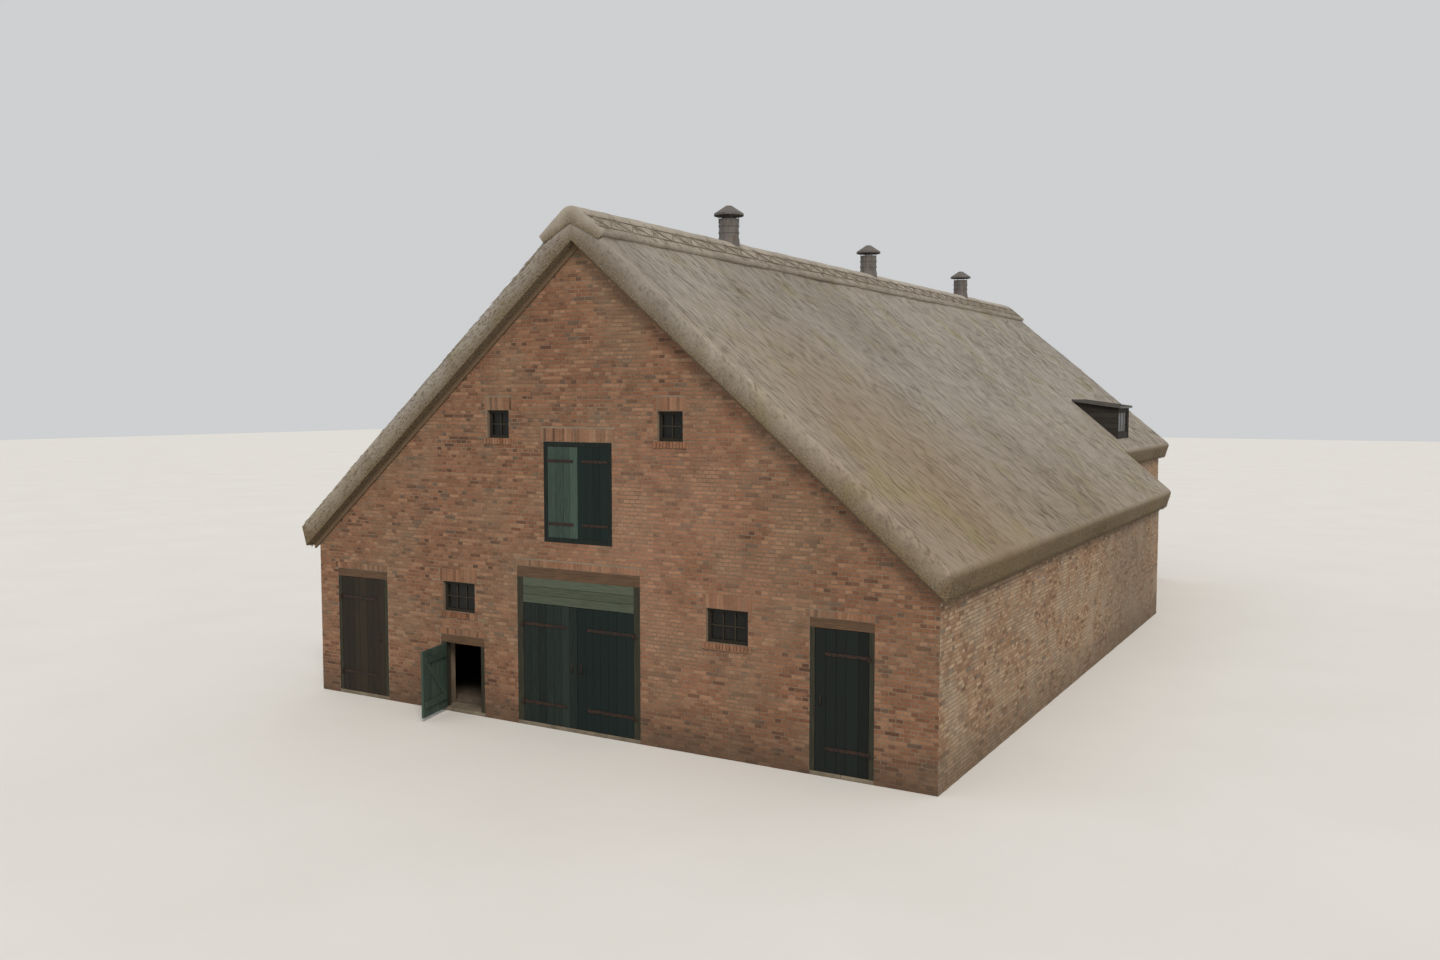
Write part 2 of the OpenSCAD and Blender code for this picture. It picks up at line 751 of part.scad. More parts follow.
module window_frames() {
    color("#4a453b") for (y = [front_sash_y, rear_sash_y]) {
        for (x = [left_window_x, right_window_x]) sash(x, sill_z, window_w, window_h, y);
        for (x = [-vent_x, vent_x]) sash(x, vent_z - vent_w / 2, vent_w, vent_w, y);
    }
    color("#4a453b") difference() {
        dormer_block(dormer_x - dormer_t, dormer_sash_x, 0);
        dormer_block(dormer_x - dormer_t - cut, dormer_sash_x + cut, sash_w);
    }
}

module window_glass() {
    color("#25251f") for (y = [front_sash_y, rear_sash_y]) {
        for (x = [left_window_x, right_window_x]) pane(x, sill_z, window_w, window_h, y);
        for (x = [-vent_x, vent_x]) pane(x, vent_z - vent_w / 2, vent_w, vent_w, y);
    }
    dormer_glass_x = dormer_sash_x - dormer_t / 4;
    color("#25251f") dormer_block(dormer_glass_x - glass_t / 2, dormer_glass_x + glass_t / 2, sash_w);
}

// Places of the two ledges as shares of a leaf's height, and how far they stay off its edges
ledge_shares = [0.14, 0.8];
ledge_inset = 60;

// A leaf is drawn hinged at its left edge: the pin is at the origin, the leaf runs to +X behind it.
// One leaf: its width, its height and its lowest point, with two ledges and a brace at its back.
module leaf(w, h, z) {
    block([leaf_gap, pin_off, z], [leaf_gap + w, pin_off + leaf_t, z + h]);
    back = pin_off + leaf_t;
    near = leaf_gap + ledge_inset;
    far = leaf_gap + w - ledge_inset;
    low = z + ledge_shares[0] * h;
    high = z + ledge_shares[1] * h;
    for (ledge = [low, high]) block([near, back, ledge], [far, back + ledge_t, ledge + ledge_h]);
    along_y(back, back + ledge_t) polygon([[near, low + ledge_h], [near + ledge_h, low + ledge_h],
        [far, high], [far - ledge_h, high]]);
}

// Heights of the hinges of a leaf, in front of its ledges.
function hinge_zs(h, z) = [for (s = ledge_shares) z + s * h + (ledge_h - strap_h) / 2];

eye_r = pin_off - 0.5;
lug_r = pin_r + lug_wall;

// One strap hinge with its eye around the pin.
module strap(w, z) {
    translate([0, 0, z]) linear_extrude(strap_h) difference() {
        union() {
            circle(r = eye_r, $fn = 40);
            translate([0, pin_off - seat - strap_t]) square([w * strap_reach, strap_t]);
        }
        circle(r = pin_r + pin_gap, $fn = 40);
    }
}

module straps(w, h, z) {
    for (s = hinge_zs(h, z)) strap(w, s);
}

// One pin on its lug, with the plate that holds it to the door post. The eye above it starts at z.
module pin(z) {
    foot = z - seat - lug_h;
    translate([0, 0, foot]) cylinder(h = lug_h, r = lug_r, $fn = 40);
    translate([0, 0, foot]) cylinder(h = lug_h + strap_h + pin_tip, r = pin_r, $fn = 40);
    block([-lug_plate_l, pin_off - strap_t, foot], [0, pin_off, foot + lug_h]);
}

module pins(h, z) {
    for (s = hinge_zs(h, z)) pin(s);
}

// Places a leaf, its hinges or its pins at a jamb. Side 1 is a left jamb and side -1 a right one.
module at_jamb(x, side, open) {
    translate([x, front_y - pin_off, 0]) rotate([0, 0, -side * open])
        if (side > 0) children(); else mirror([1, 0, 0]) children();
}

leaf_z = floor_t + leaf_gap;
left_pin_x = left_door[0] + door_post_w;
low_pin_x = low_door[0] + door_post_w;
right_pin_x = right_door[1] - door_post_w;
barn_left_pin_x = barn_door[0] + barn_post_w;
barn_right_pin_x = barn_door[1] - barn_post_w;
left_leaf_w = left_door_w - 2 * (door_post_w + leaf_gap);
low_leaf_w = low_door_w - 2 * (door_post_w + leaf_gap);
right_leaf_w = right_door_w - 2 * (door_post_w + leaf_gap);
barn_leaf_w = barn_door_w / 2 - barn_post_w - 1.5 * leaf_gap;
left_leaf_h = left_door_h - leaf_z - leaf_gap;
low_leaf_h = low_door_h - leaf_z - leaf_gap;
right_leaf_h = right_door_h - leaf_z - leaf_gap;
barn_leaf_h = barn_door_h - head_panel_h - leaf_z - leaf_gap;

module hinge_pins() {
    color("#2c2a28") {
        at_jamb(left_pin_x, 1, 0) pins(left_leaf_h, leaf_z);
        at_jamb(low_pin_x, 1, 0) pins(low_leaf_h, leaf_z);
        at_jamb(barn_left_pin_x, 1, 0) pins(barn_leaf_h, leaf_z);
        at_jamb(barn_right_pin_x, -1, 0) pins(barn_leaf_h, leaf_z);
        at_jamb(right_pin_x, -1, 0) pins(right_leaf_h, leaf_z);
    }
}

module left_door_leaf() {
    color("#322d22") at_jamb(left_pin_x, 1, 0) leaf(left_leaf_w, left_leaf_h, leaf_z);
}

module left_door_hinges() {
    color("#2c2a28") at_jamb(left_pin_x, 1, 0) straps(left_leaf_w, left_leaf_h, leaf_z);
}

module low_door_leaf() {
    color("#484e45") at_jamb(low_pin_x, 1, low_door_rest) leaf(low_leaf_w, low_leaf_h, leaf_z);
}

module low_door_hinges() {
    color("#2c2a28") at_jamb(low_pin_x, 1, low_door_rest) straps(low_leaf_w, low_leaf_h, leaf_z);
}

module barn_leaf_left() {
    color(door_green) at_jamb(barn_left_pin_x, 1, 0) leaf(barn_leaf_w, barn_leaf_h, leaf_z);
}

module barn_leaf_left_hinges() {
    color("#2c2a28") at_jamb(barn_left_pin_x, 1, 0) straps(barn_leaf_w, barn_leaf_h, leaf_z);
}

module barn_leaf_right() {
    color(door_green) at_jamb(barn_right_pin_x, -1, 0) leaf(barn_leaf_w, barn_leaf_h, leaf_z);
}

module barn_leaf_right_hinges() {
    color("#2c2a28") at_jamb(barn_right_pin_x, -1, 0) straps(barn_leaf_w, barn_leaf_h, leaf_z);
}

module right_door_leaf() {
    color("#18211b") at_jamb(right_pin_x, -1, 0) leaf(right_leaf_w, right_leaf_h, leaf_z);
}

module right_door_hinges() {
    color("#2c2a28") at_jamb(right_pin_x, -1, 0) straps(right_leaf_w, right_leaf_h, leaf_z);
}

floor();
rear_floor();
thresholds();
left_corner_pier();
front_left_lower_walls();
front_left_upper_wall();
front_right_wall();
right_corner_pier();
front_door_heads();
front_gable_left();
front_gable_right();
front_gable_middle();
left_side_wall();
right_side_wall();
left_shoulder_wall();
right_shoulder_wall();
left_rear_wall();
right_rear_wall();
rear_gable_wall();
rear_gable_top();
wall_plates();
frame_posts();
tie_beams();
tenon_wedges();
post_braces();
purlins();
left_rafters();
right_rafters();
barn_thatch_left();
barn_thatch_right();
rear_thatch_left();
rear_thatch_right();
ridge_cap();
barge_boards();
ventilator_pipes();
ventilator_hoods();
dormer_cheeks();
dormer_front();
dormer_roof();
door_posts();
door_lintels();
barn_head_panel();
hay_door_frame();
hay_door_leaves();
window_frames();
window_glass();
hinge_pins();
left_door_leaf();
left_door_hinges();
low_door_leaf();
low_door_hinges();
barn_leaf_left();
barn_leaf_left_hinges();
barn_leaf_right();
barn_leaf_right_hinges();
right_door_leaf();
right_door_hinges();
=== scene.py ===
# Looks of the thatched brick farm barn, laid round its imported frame. Metres, Z up, the gable looks along -Y.
import json
import math
import random

import bmesh
import bpy
import numpy as np
from mathutils import Matrix, Vector, noise


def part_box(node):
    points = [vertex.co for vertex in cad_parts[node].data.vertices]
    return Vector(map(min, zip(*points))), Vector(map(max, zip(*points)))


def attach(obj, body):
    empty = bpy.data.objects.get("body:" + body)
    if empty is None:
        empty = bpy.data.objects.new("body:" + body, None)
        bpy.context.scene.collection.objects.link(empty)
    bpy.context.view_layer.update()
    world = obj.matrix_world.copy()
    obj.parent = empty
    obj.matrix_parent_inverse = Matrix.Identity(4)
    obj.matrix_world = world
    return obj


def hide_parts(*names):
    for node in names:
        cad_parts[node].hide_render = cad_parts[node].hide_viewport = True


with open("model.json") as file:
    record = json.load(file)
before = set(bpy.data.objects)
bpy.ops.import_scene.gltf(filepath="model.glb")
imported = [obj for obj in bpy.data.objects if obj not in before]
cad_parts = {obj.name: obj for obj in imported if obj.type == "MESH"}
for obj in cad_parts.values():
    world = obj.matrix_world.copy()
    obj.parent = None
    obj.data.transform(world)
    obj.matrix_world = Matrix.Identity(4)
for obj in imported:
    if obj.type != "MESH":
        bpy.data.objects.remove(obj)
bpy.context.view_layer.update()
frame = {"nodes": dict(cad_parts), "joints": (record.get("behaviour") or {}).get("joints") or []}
nodes = frame["nodes"]
scene = bpy.context.scene
mm = 0.001


def linear(colour):
    # sRGB hex to the linear values that a shader reads
    values = [int(colour[i:i + 2], 16) / 255 for i in (1, 3, 5)]
    return [v / 12.92 if v <= 0.04045 else ((v + 0.055) / 1.055) ** 2.4 for v in values] + [1.0]


def newMaterial(name):
    # an empty material, the function that adds nodes to it, and the object's own coordinates
    material = bpy.data.materials.new(name)
    material.use_nodes = True
    tree = material.node_tree
    tree.nodes.clear()

    def add(kind, settings, output=0):
        # one node: sockets are linked, ramp stops laid out, other values set on a socket or a property
        node = tree.nodes.new("ShaderNode" + kind)
        for key, value in settings.items():
            if isinstance(value, bpy.types.NodeSocket):
                tree.links.new(value, node.inputs[key])
            elif key == "stops":
                elements = node.color_ramp.elements
                while len(elements) < len(value):
                    elements.new(0.5)
                for element, (place, colour) in zip(elements, value):
                    element.position, element.color = place, linear(colour)
            elif isinstance(key, int) or key in node.inputs:
                node.inputs[key].default_value = value
            else:
                setattr(node, key, value)
        return node.outputs[output] if node.outputs else None

    return material, add, add("TexCoord", {}, "Object")


def patches(add, coords, size, low, high, stretch=(1.0, 1.0, 1.0), detail=5.0):
    # spots about size metres wide, drawn out where stretch is small, 0 below low and 1 above high
    spot = add("Mapping", {"Vector": coords, "Scale": [s / size for s in stretch]})
    value = add("TexNoise", {"Vector": spot, "Scale": 1.0, "Detail": detail, "Roughness": 0.6})
    return add("MapRange", {"Value": value, "From Min": low, "From Max": high})


def byHeight(add, coords, start, end, axis=2):
    # 0 at the height start and 1 at the height end, or so along another axis
    height = add("SeparateXYZ", {0: coords}, axis)
    return add("MapRange", {"Value": height, "From Min": start, "From Max": end})


def around(add, coords, place, full, none):
    # 1 within the distance full of a place and 0 beyond the distance none
    away = add("VectorMath", {"operation": "DISTANCE", 0: coords, 1: place}, "Value")
    return add("MapRange", {"Value": away, "From Min": none, "From Max": full})


def coat(add, under, colour, mask, share):
    # a colour laid over another by a mask, as thick as share at most
    amount = add("Math", {"operation": "MULTIPLY", 0: mask, 1: share})
    return add("Mix", {"data_type": "RGBA", 0: amount, 6: under, 7: linear(colour)}, 2)


def blendShades(add, parts):
    # weighted sum of some masks
    total = add("Math", {"operation": "MULTIPLY", 0: parts[0][0], 1: parts[0][1]})
    for mask, share in parts[1:]:
        total = add("Math", {"operation": "MULTIPLY_ADD", 0: mask, 1: share, 2: total})
    return total


def surface(add, colour, roughness, height, depth, metallic=0.0, specular=0.4):
    # the shader with its bump of a real depth in metres
    bump = add("Bump", {"Height": height, "Strength": 0.8, "Distance": depth})
    shader = add("BsdfPrincipled", {"Base Color": colour, "Roughness": roughness, "Metallic": metallic,
                                    "Specular IOR Level": specular, "Normal": bump})
    add("OutputMaterial", {"Surface": shader})


# where the weather shows, and where the side wall darkens at its far end: a place, how far round it the mark
# is full, and where it ends
weather = {"washedWall": ((1.7, -11.2, 3.1), 0.6, 2.6), "darkFarWall": ((6.0, 1.6, 0.9), 1.2, 4.2),
           "dampReed": ((4.4, -9.3, 4.4), 1.2, 4.2)}


def brickwork(name, stops, bloom, bloomShare, foot):
    # hand-moulded brick, sanded and weathered: matt, each brick its own shade, dirt splashed up the foot
    material, add, coords = newMaterial(name)
    shade = add("Attribute", {"attribute_name": "tone"}, "Fac")
    colour = add("ValToRGB", {"Fac": shade, "stops": stops})
    colour = coat(add, colour, bloom, patches(add, coords, 1.0, 0.46, 0.62), bloomShare)
    washed = add("Math", {"operation": "MULTIPLY", 0: around(add, coords, *weather["washedWall"]),
                          1: patches(add, coords, 1.2, 0.3, 0.55)})
    colour = coat(add, colour, "#b1846d", washed, 0.36)  # pale where rain runs down beside the hay door
    # the side wall is darker towards its far end
    colour = coat(add, colour, "#5c574c", around(add, coords, *weather["darkFarWall"]), 0.42)
    colour = coat(add, colour, "#43352a", patches(add, coords, 0.4, 0.46, 0.72), 0.34)
    colour = coat(add, colour, "#33291f", patches(add, coords, 0.05, 0.56, 0.7), 0.45)  # burnt spots
    splash = blendShades(add, [(byHeight(add, coords, 0.8, 0.0), 0.75),
                               (patches(add, coords, 0.25, 0.3, 0.7), 0.3)])
    splash = add("Math", {"operation": "MULTIPLY", 0: splash, 1: byHeight(add, coords, 1.1, 0.35)})
    colour = coat(add, colour, foot, splash, 0.75)
    grit = patches(add, coords, 12 * mm, 0.2, 0.8, detail=3.0)  # sanded faces with pits of about 12 mm
    surface(add, colour, 0.92, grit, 3 * mm, specular=0.25)
    return material


def mortar(name, light, dark):
    # lime mortar, raked and weathered: pale, sandy and matt
    material, add, coords = newMaterial(name)
    blotch = patches(add, coords, 0.5, 0.3, 0.7)
    colour = add("ValToRGB", {"Fac": blotch, "stops": [(0.0, light), (1.0, dark)]})
    colour = coat(add, colour, "#43392e", byHeight(add, coords, 0.7, 0.0), 0.55)
    surface(add, colour, 0.95, patches(add, coords, 8 * mm, 0.2, 0.8), 2 * mm, specular=0.2)
    return material


def reedThatch(name, stops, mossShare):
    # water reed combed down the slope, weathered for years: dry matt stalks, greyer high up, moss in patches
    material, add, coords = newMaterial(name)
    stalks = patches(add, coords, 22 * mm, 0.25, 0.75, (0.045, 1.0, 0.045), 3.0)  # coarser than a 6 mm stalk
    bundles = patches(add, coords, 0.14, 0.25, 0.75, (0.12, 1.0, 0.12), 3.0)
    ownTone = add("Attribute", {"attribute_name": "tone"}, "Fac")
    shade = blendShades(add, [(stalks, 0.42), (bundles, 0.26), (ownTone, 0.32)])
    colour = add("ValToRGB", {"Fac": shade, "stops": stops})
    colour = coat(add, colour, "#6a6054", patches(add, coords, 2.4, 0.44, 0.7, (0.55, 1.0, 0.55)), 0.42)
    colour = coat(add, colour, "#7d6742", byHeight(add, coords, 5.4, 2.7), 0.36)
    colour = coat(add, colour, "#b3aea6", byHeight(add, coords, -4.0, 6.0, 1), 0.26)  # drier towards the rear
    colour = coat(add, colour, "#8b6f3c", around(add, coords, *weather["dampReed"]), 0.28)
    colour = coat(add, colour, "#857c4f", patches(add, coords, 1.1, 0.54, 0.68, detail=9.0), mossShare)
    colour = coat(add, colour, "#5f6238", patches(add, coords, 0.22, 0.62, 0.7, detail=6.0), mossShare)
    cutEnds = add("Attribute", {"attribute_name": "cut"}, "Fac")
    stipple = patches(add, coords, 30 * mm, 0.35, 0.65, detail=3.0)  # stalk ends, coarser than real ones
    speckled = add("Mix", {"data_type": "RGBA", 0: stipple, 6: linear("#433624"), 7: linear("#7a6849")}, 2)
    cutShare = add("Math", {"operation": "MULTIPLY", 0: cutEnds, 1: 0.8})
    colour = add("Mix", {"data_type": "RGBA", 0: cutShare, 6: colour, 7: speckled}, 2)
    relief = add("Mix", {"data_type": "FLOAT", 0: cutEnds, 2: stalks, 3: stipple})
    surface(add, colour, 0.96, relief, 12 * mm, specular=0.15)
    return material


def sawnBoards(name, light, dark, bare, bareShare, along=2):
    # sawn softwood under old oil paint or tar: dull, streaked along the grain, bare where rain splashes
    material, add, coords = newMaterial(name)
    grain = [1.0, 1.0, 1.0]
    grain[along] = 0.06
    streaks = patches(add, coords, 18 * mm, 0.3, 0.7, grain, 4.0)
    ownTone = add("Attribute", {"attribute_name": "tone"}, "Fac")
    shade = blendShades(add, [(streaks, 0.55), (ownTone, 0.45)])
    colour = add("ValToRGB", {"Fac": shade, "stops": [(0.1, dark), (0.9, light)]})
    peeled = patches(add, coords, 0.05, 0.58, 0.7, grain, 8.0)
    low = add("MapRange", {"Value": byHeight(add, coords, 0.6, 0.0), "To Min": 0.25, "To Max": 1.0})
    colour = coat(add, colour, bare, add("Math", {"operation": "MULTIPLY", 0: peeled, 1: low}), bareShare)
    dull = add("MapRange", {"Value": streaks, "To Min": 0.66, "To Max": 0.88})
    surface(add, colour, dull, streaks, 1.5 * mm, specular=0.25)
    return material


def forgedIron(name):
    # forged strap iron, blacked and rusting: dull brown-black
    material, add, coords = newMaterial(name)
    rust = patches(add, coords, 0.04, 0.42, 0.68)
    colour = add("ValToRGB", {"Fac": rust, "stops": [(0.0, "#1f1c1a"), (1.0, "#4a3022")]})
    surface(add, colour, add("MapRange", {"Value": rust, "To Min": 0.5, "To Max": 0.85}),
            patches(add, coords, 6 * mm, 0.2, 0.8), 0.6 * mm, metallic=0.35)
    return material


def rolledSheet(name, light, dark):
    # rolled zinc or painted sheet, dulled by weather: slight sheen, rain streaks and spots of rust
    material, add, coords = newMaterial(name)
    streaks = patches(add, coords, 0.04, 0.3, 0.7, (1.0, 1.0, 0.12))
    colour = add("ValToRGB", {"Fac": streaks, "stops": [(0.0, dark), (1.0, light)]})
    colour = coat(add, colour, "#5f4332", patches(add, coords, 0.12, 0.58, 0.68, detail=8.0), 0.65)
    surface(add, colour, add("MapRange", {"Value": streaks, "To Min": 0.42, "To Max": 0.7}),
            patches(add, coords, 0.05, 0.2, 0.8), 1 * mm)
    return material


def oldGlass(name):
    # drawn window glass with dust and cobweb, softly glossy; opaque and painted near black, as painted shade
    # of the dark inside
    material, add, coords = newMaterial(name)
    dust = patches(add, coords, 0.12, 0.45, 0.75, detail=6.0)
    # near-black base colour: painted shade of the inside behind the panes
    colour = add("ValToRGB", {"Fac": dust, "stops": [(0.0, "#0b0c0a"), (1.0, "#1f1e19")]})
    dull = add("MapRange", {"Value": dust, "To Min": 0.2, "To Max": 0.6})
    surface(add, colour, dull, dust, 0.2 * mm, specular=0.25)
    return material


def pavedFloor(name):
    # trodden clay brick laid flat, earth in the joints: matt and dusty
    material, add, coords = newMaterial(name)
    laid = {"Vector": coords, "Scale": 1.0, "Brick Width": 0.22, "Row Height": 0.11, "Mortar Size": 6 * mm,
            "Color1": linear("#6f6254"), "Color2": linear("#5c5146"), "Mortar": linear("#3c352c")}
    bricks = add("TexBrick", laid)
    joints = add("TexBrick", laid, "Fac")
    colour = coat(add, bricks, "#7f7667", patches(add, coords, 0.7, 0.35, 0.75), 0.5)
    surface(add, colour, 0.93, joints, -3 * mm, specular=0.2)
    return material


def hewnStone(name, light, dark):
    # hewn sandstone, worn by feet: matt, with fine grit and damp patches
    material, add, coords = newMaterial(name)
    damp = patches(add, coords, 0.3, 0.3, 0.7)
    colour = add("ValToRGB", {"Fac": damp, "stops": [(0.0, light), (1.0, dark)]})
    surface(add, colour, 0.9, patches(add, coords, 5 * mm, 0.2, 0.8), 1.5 * mm, specular=0.25)
    return material


frontBrick = brickwork("weatheredFrontBrick", [(0.0, "#5a3e2f"), (0.28, "#77513c"), (0.6, "#875f47"),
                       (0.85, "#977258"), (1.0, "#655042")], "#8c7a63", 0.36, "#4a3d31")
# the side walls are laid in a paler copy of the front brick
sideBrick = brickwork("paleSideBrick", [(0.0, "#6a503e"), (0.3, "#876850"), (0.62, "#9a7e64"),
                      (0.86, "#a99278"), (1.0, "#726455")], "#9f8f7b", 0.7, "#5f5243")
limeMortar = mortar("rakedLimeMortar", "#8a7a68", "#6f6152")
reedTop = reedThatch("weatheredReedThatch", [(0.0, "#6b645b"), (0.3, "#8b837a"), (0.7, "#a49d94"),
                     (1.0, "#bab5ab")], 0.42)
ridgeStraw = reedThatch("packedRidgeStraw", [(0.0, "#7a7369"), (0.3, "#9b9388"), (0.7, "#b3aca0"),
                        (1.0, "#c8c2b7")], 0.2)
barnGreen = sawnBoards("oldGreenBoards", "#26322d", "#0c1311", "#47483e", 0.3)
doorGreen = sawnBoards("blackGreenBoards", "#171f1c", "#090e0c", "#3a3a32", 0.25)
postPaint = sawnBoards("greyGreenPostPaint", "#454335", "#27261d", "#6b5c48", 0.3)
tealGreen = sawnBoards("darkTealBoards", "#11221f", "#07100f", "#363a33", 0.2)
fadedGreen = sawnBoards("fadedGreyGreenBoards", "#42534a", "#28352f", "#5b5d50", 0.35)
headGrey = sawnBoards("greyHeadBoards", "#565e4f", "#394034", "#6a6857", 0.35, 0)
brownBoards = sawnBoards("brownBlackBoards", "#332c20", "#191510", "#554b3b", 0.35)
vergeBoards = sawnBoards("brownVergeBoards", "#85725e", "#65533f", "#8f7d66", 0.3, 1)
dormerBoards = sawnBoards("tarredDormerBoards", "#37332f", "#1c1a17", "#57504a", 0.3, 0)
sashPaint = sawnBoards("chalkySashPaint", "#3a342a", "#231f18", "#544d40", 0.3)
uprightOak = sawnBoards("weatheredUprightOak", "#54412f", "#2f2318", "#75634d", 0.35, 2)
lintelOak = sawnBoards("weatheredLintelOak", "#765b45", "#4c3a2a", "#8c765f", 0.35, 0)
longOak = sawnBoards("weatheredLongOak", "#54412f", "#2f2318", "#75634d", 0.35, 1)
hazelRods = sawnBoards("greyHazelRods", "#857a6a", "#5b5144", "#9a907f", 0.3, 1)
ironStraps = forgedIron("rustyForgedIron")
ventSheet = rolledSheet("dullGreySheet", "#6d6863", "#4a4643")
dormerSheet = rolledSheet("greyZinc", "#5d5b58", "#403e3c")
windowGlass = oldGlass("dustyDrawnGlass")
floorPaving = pavedFloor("troddenClayPaving")
stepStone = hewnStone("wornSandstone", "#857a69", "#5f5648")

cadMaterials = [
    (uprightOak, ["frame_posts", "post_braces", "tenon_wedges"]),
    (postPaint, ["door_posts"]),
    (barnGreen, ["hay_door_frame"]),
    (lintelOak, ["door_lintels", "tie_beams", "left_rafters", "right_rafters"]),
    (longOak, ["wall_plates", "purlins"]),
    (limeMortar, [n for n in nodes if n.endswith(("_wall", "_walls", "_pier", "_heads")) or "gable" in n]),
    (floorPaving, ["floor", "rear_floor"]),
    (vergeBoards, ["barge_boards"]),
    (dormerBoards, ["dormer_cheeks", "dormer_front"]),
    (dormerSheet, ["dormer_roof"]),
    (ventSheet, ["ventilator_pipes", "ventilator_hoods"]),
    (ironStraps, [n for n in nodes if "hinge" in n]),
    (sashPaint, ["window_frames"]),
    (windowGlass, ["window_glass"]),
]
for material, names in cadMaterials:
    for name in names:
        nodes[name].data.materials.clear()
        nodes[name].data.materials.append(material)
print("materials done")


def meshFrom(name, shape):
    # a finished bmesh as a mesh
    mesh = bpy.data.meshes.new(name)
    shape.to_mesh(mesh)
    shape.free()
    return mesh


def newObject(name, data):
    # linked to the scene, at the origin and unturned
    made = bpy.data.objects.new(name, data)
    scene.collection.objects.link(made)
    return made


def addPiece(name, shape, material, body, slotName, replaced=(), smooth=False):
    # a finished bmesh or mesh becomes a piece that rides on one body
    mesh = meshFrom(name, shape) if isinstance(shape, bmesh.types.BMesh) else shape
    if smooth:
        mesh.polygons.foreach_set("use_smooth", [True] * len(mesh.polygons))
    piece = newObject(name, mesh)
    mesh.materials.append(material)
    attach(piece, body)
    if replaced:
        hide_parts(*replaced)


def loosePartBoxes(node):
    # boxes of the separate solids of one CAD node
    copy = bmesh.new()
    copy.from_mesh(nodes[node].data)
    bmesh.ops.remove_doubles(copy, verts=copy.verts, dist=0.0001)
    left = set(copy.verts)
    boxes = []
    while left:
        stack = [left.pop()]
        part = list(stack)
        while stack:
            for edge in stack.pop().link_edges:
                for vert in edge.verts:
                    if vert in left:
                        left.discard(vert)
                        stack.append(vert)
                        part.append(vert)
        corners = np.array([v.co for v in part])
        boxes.append((Vector(corners.min(0)), Vector(corners.max(0))))
    copy.free()
    return sorted(boxes, key=lambda b: (round(b[0].y, 3), round(b[0].x, 3), round(b[0].z, 3)))


def placing(columns):
    # matrix whose columns are where the three axes and the origin go
    place = np.identity(4)
    place[:3, :] = np.array(columns).T
    return place


def joinCopies(name, template, copies, labels=("tone", "cut")):
    # one mesh of many copies of a small closed shape; a copy is its matrix and a value for each label
    template.verts.index_update()
    corners = np.array([(*v.co, 1.0) for v in template.verts])
    sides = [[v.index for v in f.verts] for f in template.faces]
    places, *shades = zip(*copies)
    placed = np.einsum("nij,vj->nvi", np.array(places), corners)[:, :, :3].reshape(-1, 3)
    faces = [[i + k * len(corners) for i in side] for k in range(len(places)) for side in sides]
    template.free()
    mesh = bpy.data.meshes.new(name)
    mesh.from_pydata(placed.tolist(), [], faces)
    for label, values in zip(labels, shades):
        attribute = mesh.attributes.new(label, "FLOAT", "POINT")
        attribute.data.foreach_set("value", np.repeat(np.array(values, np.float32), len(corners)))
    return mesh


def boxShape(shape, low, high):
    # adds a box between two corners and gives its vertices
    made = bmesh.ops.create_cube(shape, size=1.0)["verts"]
    bmesh.ops.scale(shape, verts=made, vec=Vector(high) - Vector(low))
    bmesh.ops.translate(shape, verts=made, vec=(Vector(high) + Vector(low)) / 2)
    return made


def closeHoles(shape):
    return bmesh.ops.holes_fill(shape, edges=[e for e in shape.edges if e.is_boundary], sides=0)["faces"]


def cutBy(shape, planes):
    # cuts away what lies beyond each plane and closes the cuts
    for point, normal in planes:
        bmesh.ops.bisect_plane(shape, geom=shape.verts[:] + shape.edges[:] + shape.faces[:], dist=1e-5,
                               plane_co=point, plane_no=normal, clear_outer=True)
        closeHoles(shape)


def easeEdges(shape, ease):
    bmesh.ops.bevel(shape, geom=shape.edges[:], offset=ease, offset_type="OFFSET", segments=1, profile=0.5,
                    affect="EDGES", material=-1)


frontLow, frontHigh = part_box("left_corner_pier")[0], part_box("right_corner_pier")[1]
frontY, houseX = frontLow.y, frontHigh.x
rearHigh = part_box("rear_gable_wall")[1]
rearY, rearX = rearHigh.y, rearHigh.x
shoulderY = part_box("right_shoulder_wall")[1].y
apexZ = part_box("front_gable_middle")[1].z
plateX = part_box("wall_plates")[1].x  # outer edge of the wall plates
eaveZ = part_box("right_side_wall")[1].z  # the side wall is highest over the plate
roofRun = (apexZ - eaveZ) / plateX
pitch = math.atan(roofRun)
roofLines = [((0, 0, apexZ), (side * roofRun, 0, 1)) for side in (1, -1)]


def underThatch(x):
    # height of the thatch's underside at a distance from the ridge
    return apexZ - roofRun * abs(x)


brick = {"long": 0.212, "short": 0.101, "high": 0.052, "joint": 0.010, "leastCut": 0.025, "leastHigh": 0.012,
         "leastSplit": 0.02, "bedded": 0.002, "proud": 0.006, "proudSpread": (0.5, 1.3), "ease": 0.003,
         "easeSpread": (0.6, 1.8), "toneSpread": 0.24, "filling": 0.05}
opening = {"soldierHigh": 0.212, "soldierWide": 0.052, "sillHigh": 0.101, "sillProud": 0.024, "bearing": 0.06}
walls = {"front": Vector((0, -1, 0)), "right": Vector((1, 0, 0)), "rear": Vector((0, 1, 0)),
         "left": Vector((-1, 0, 0))}


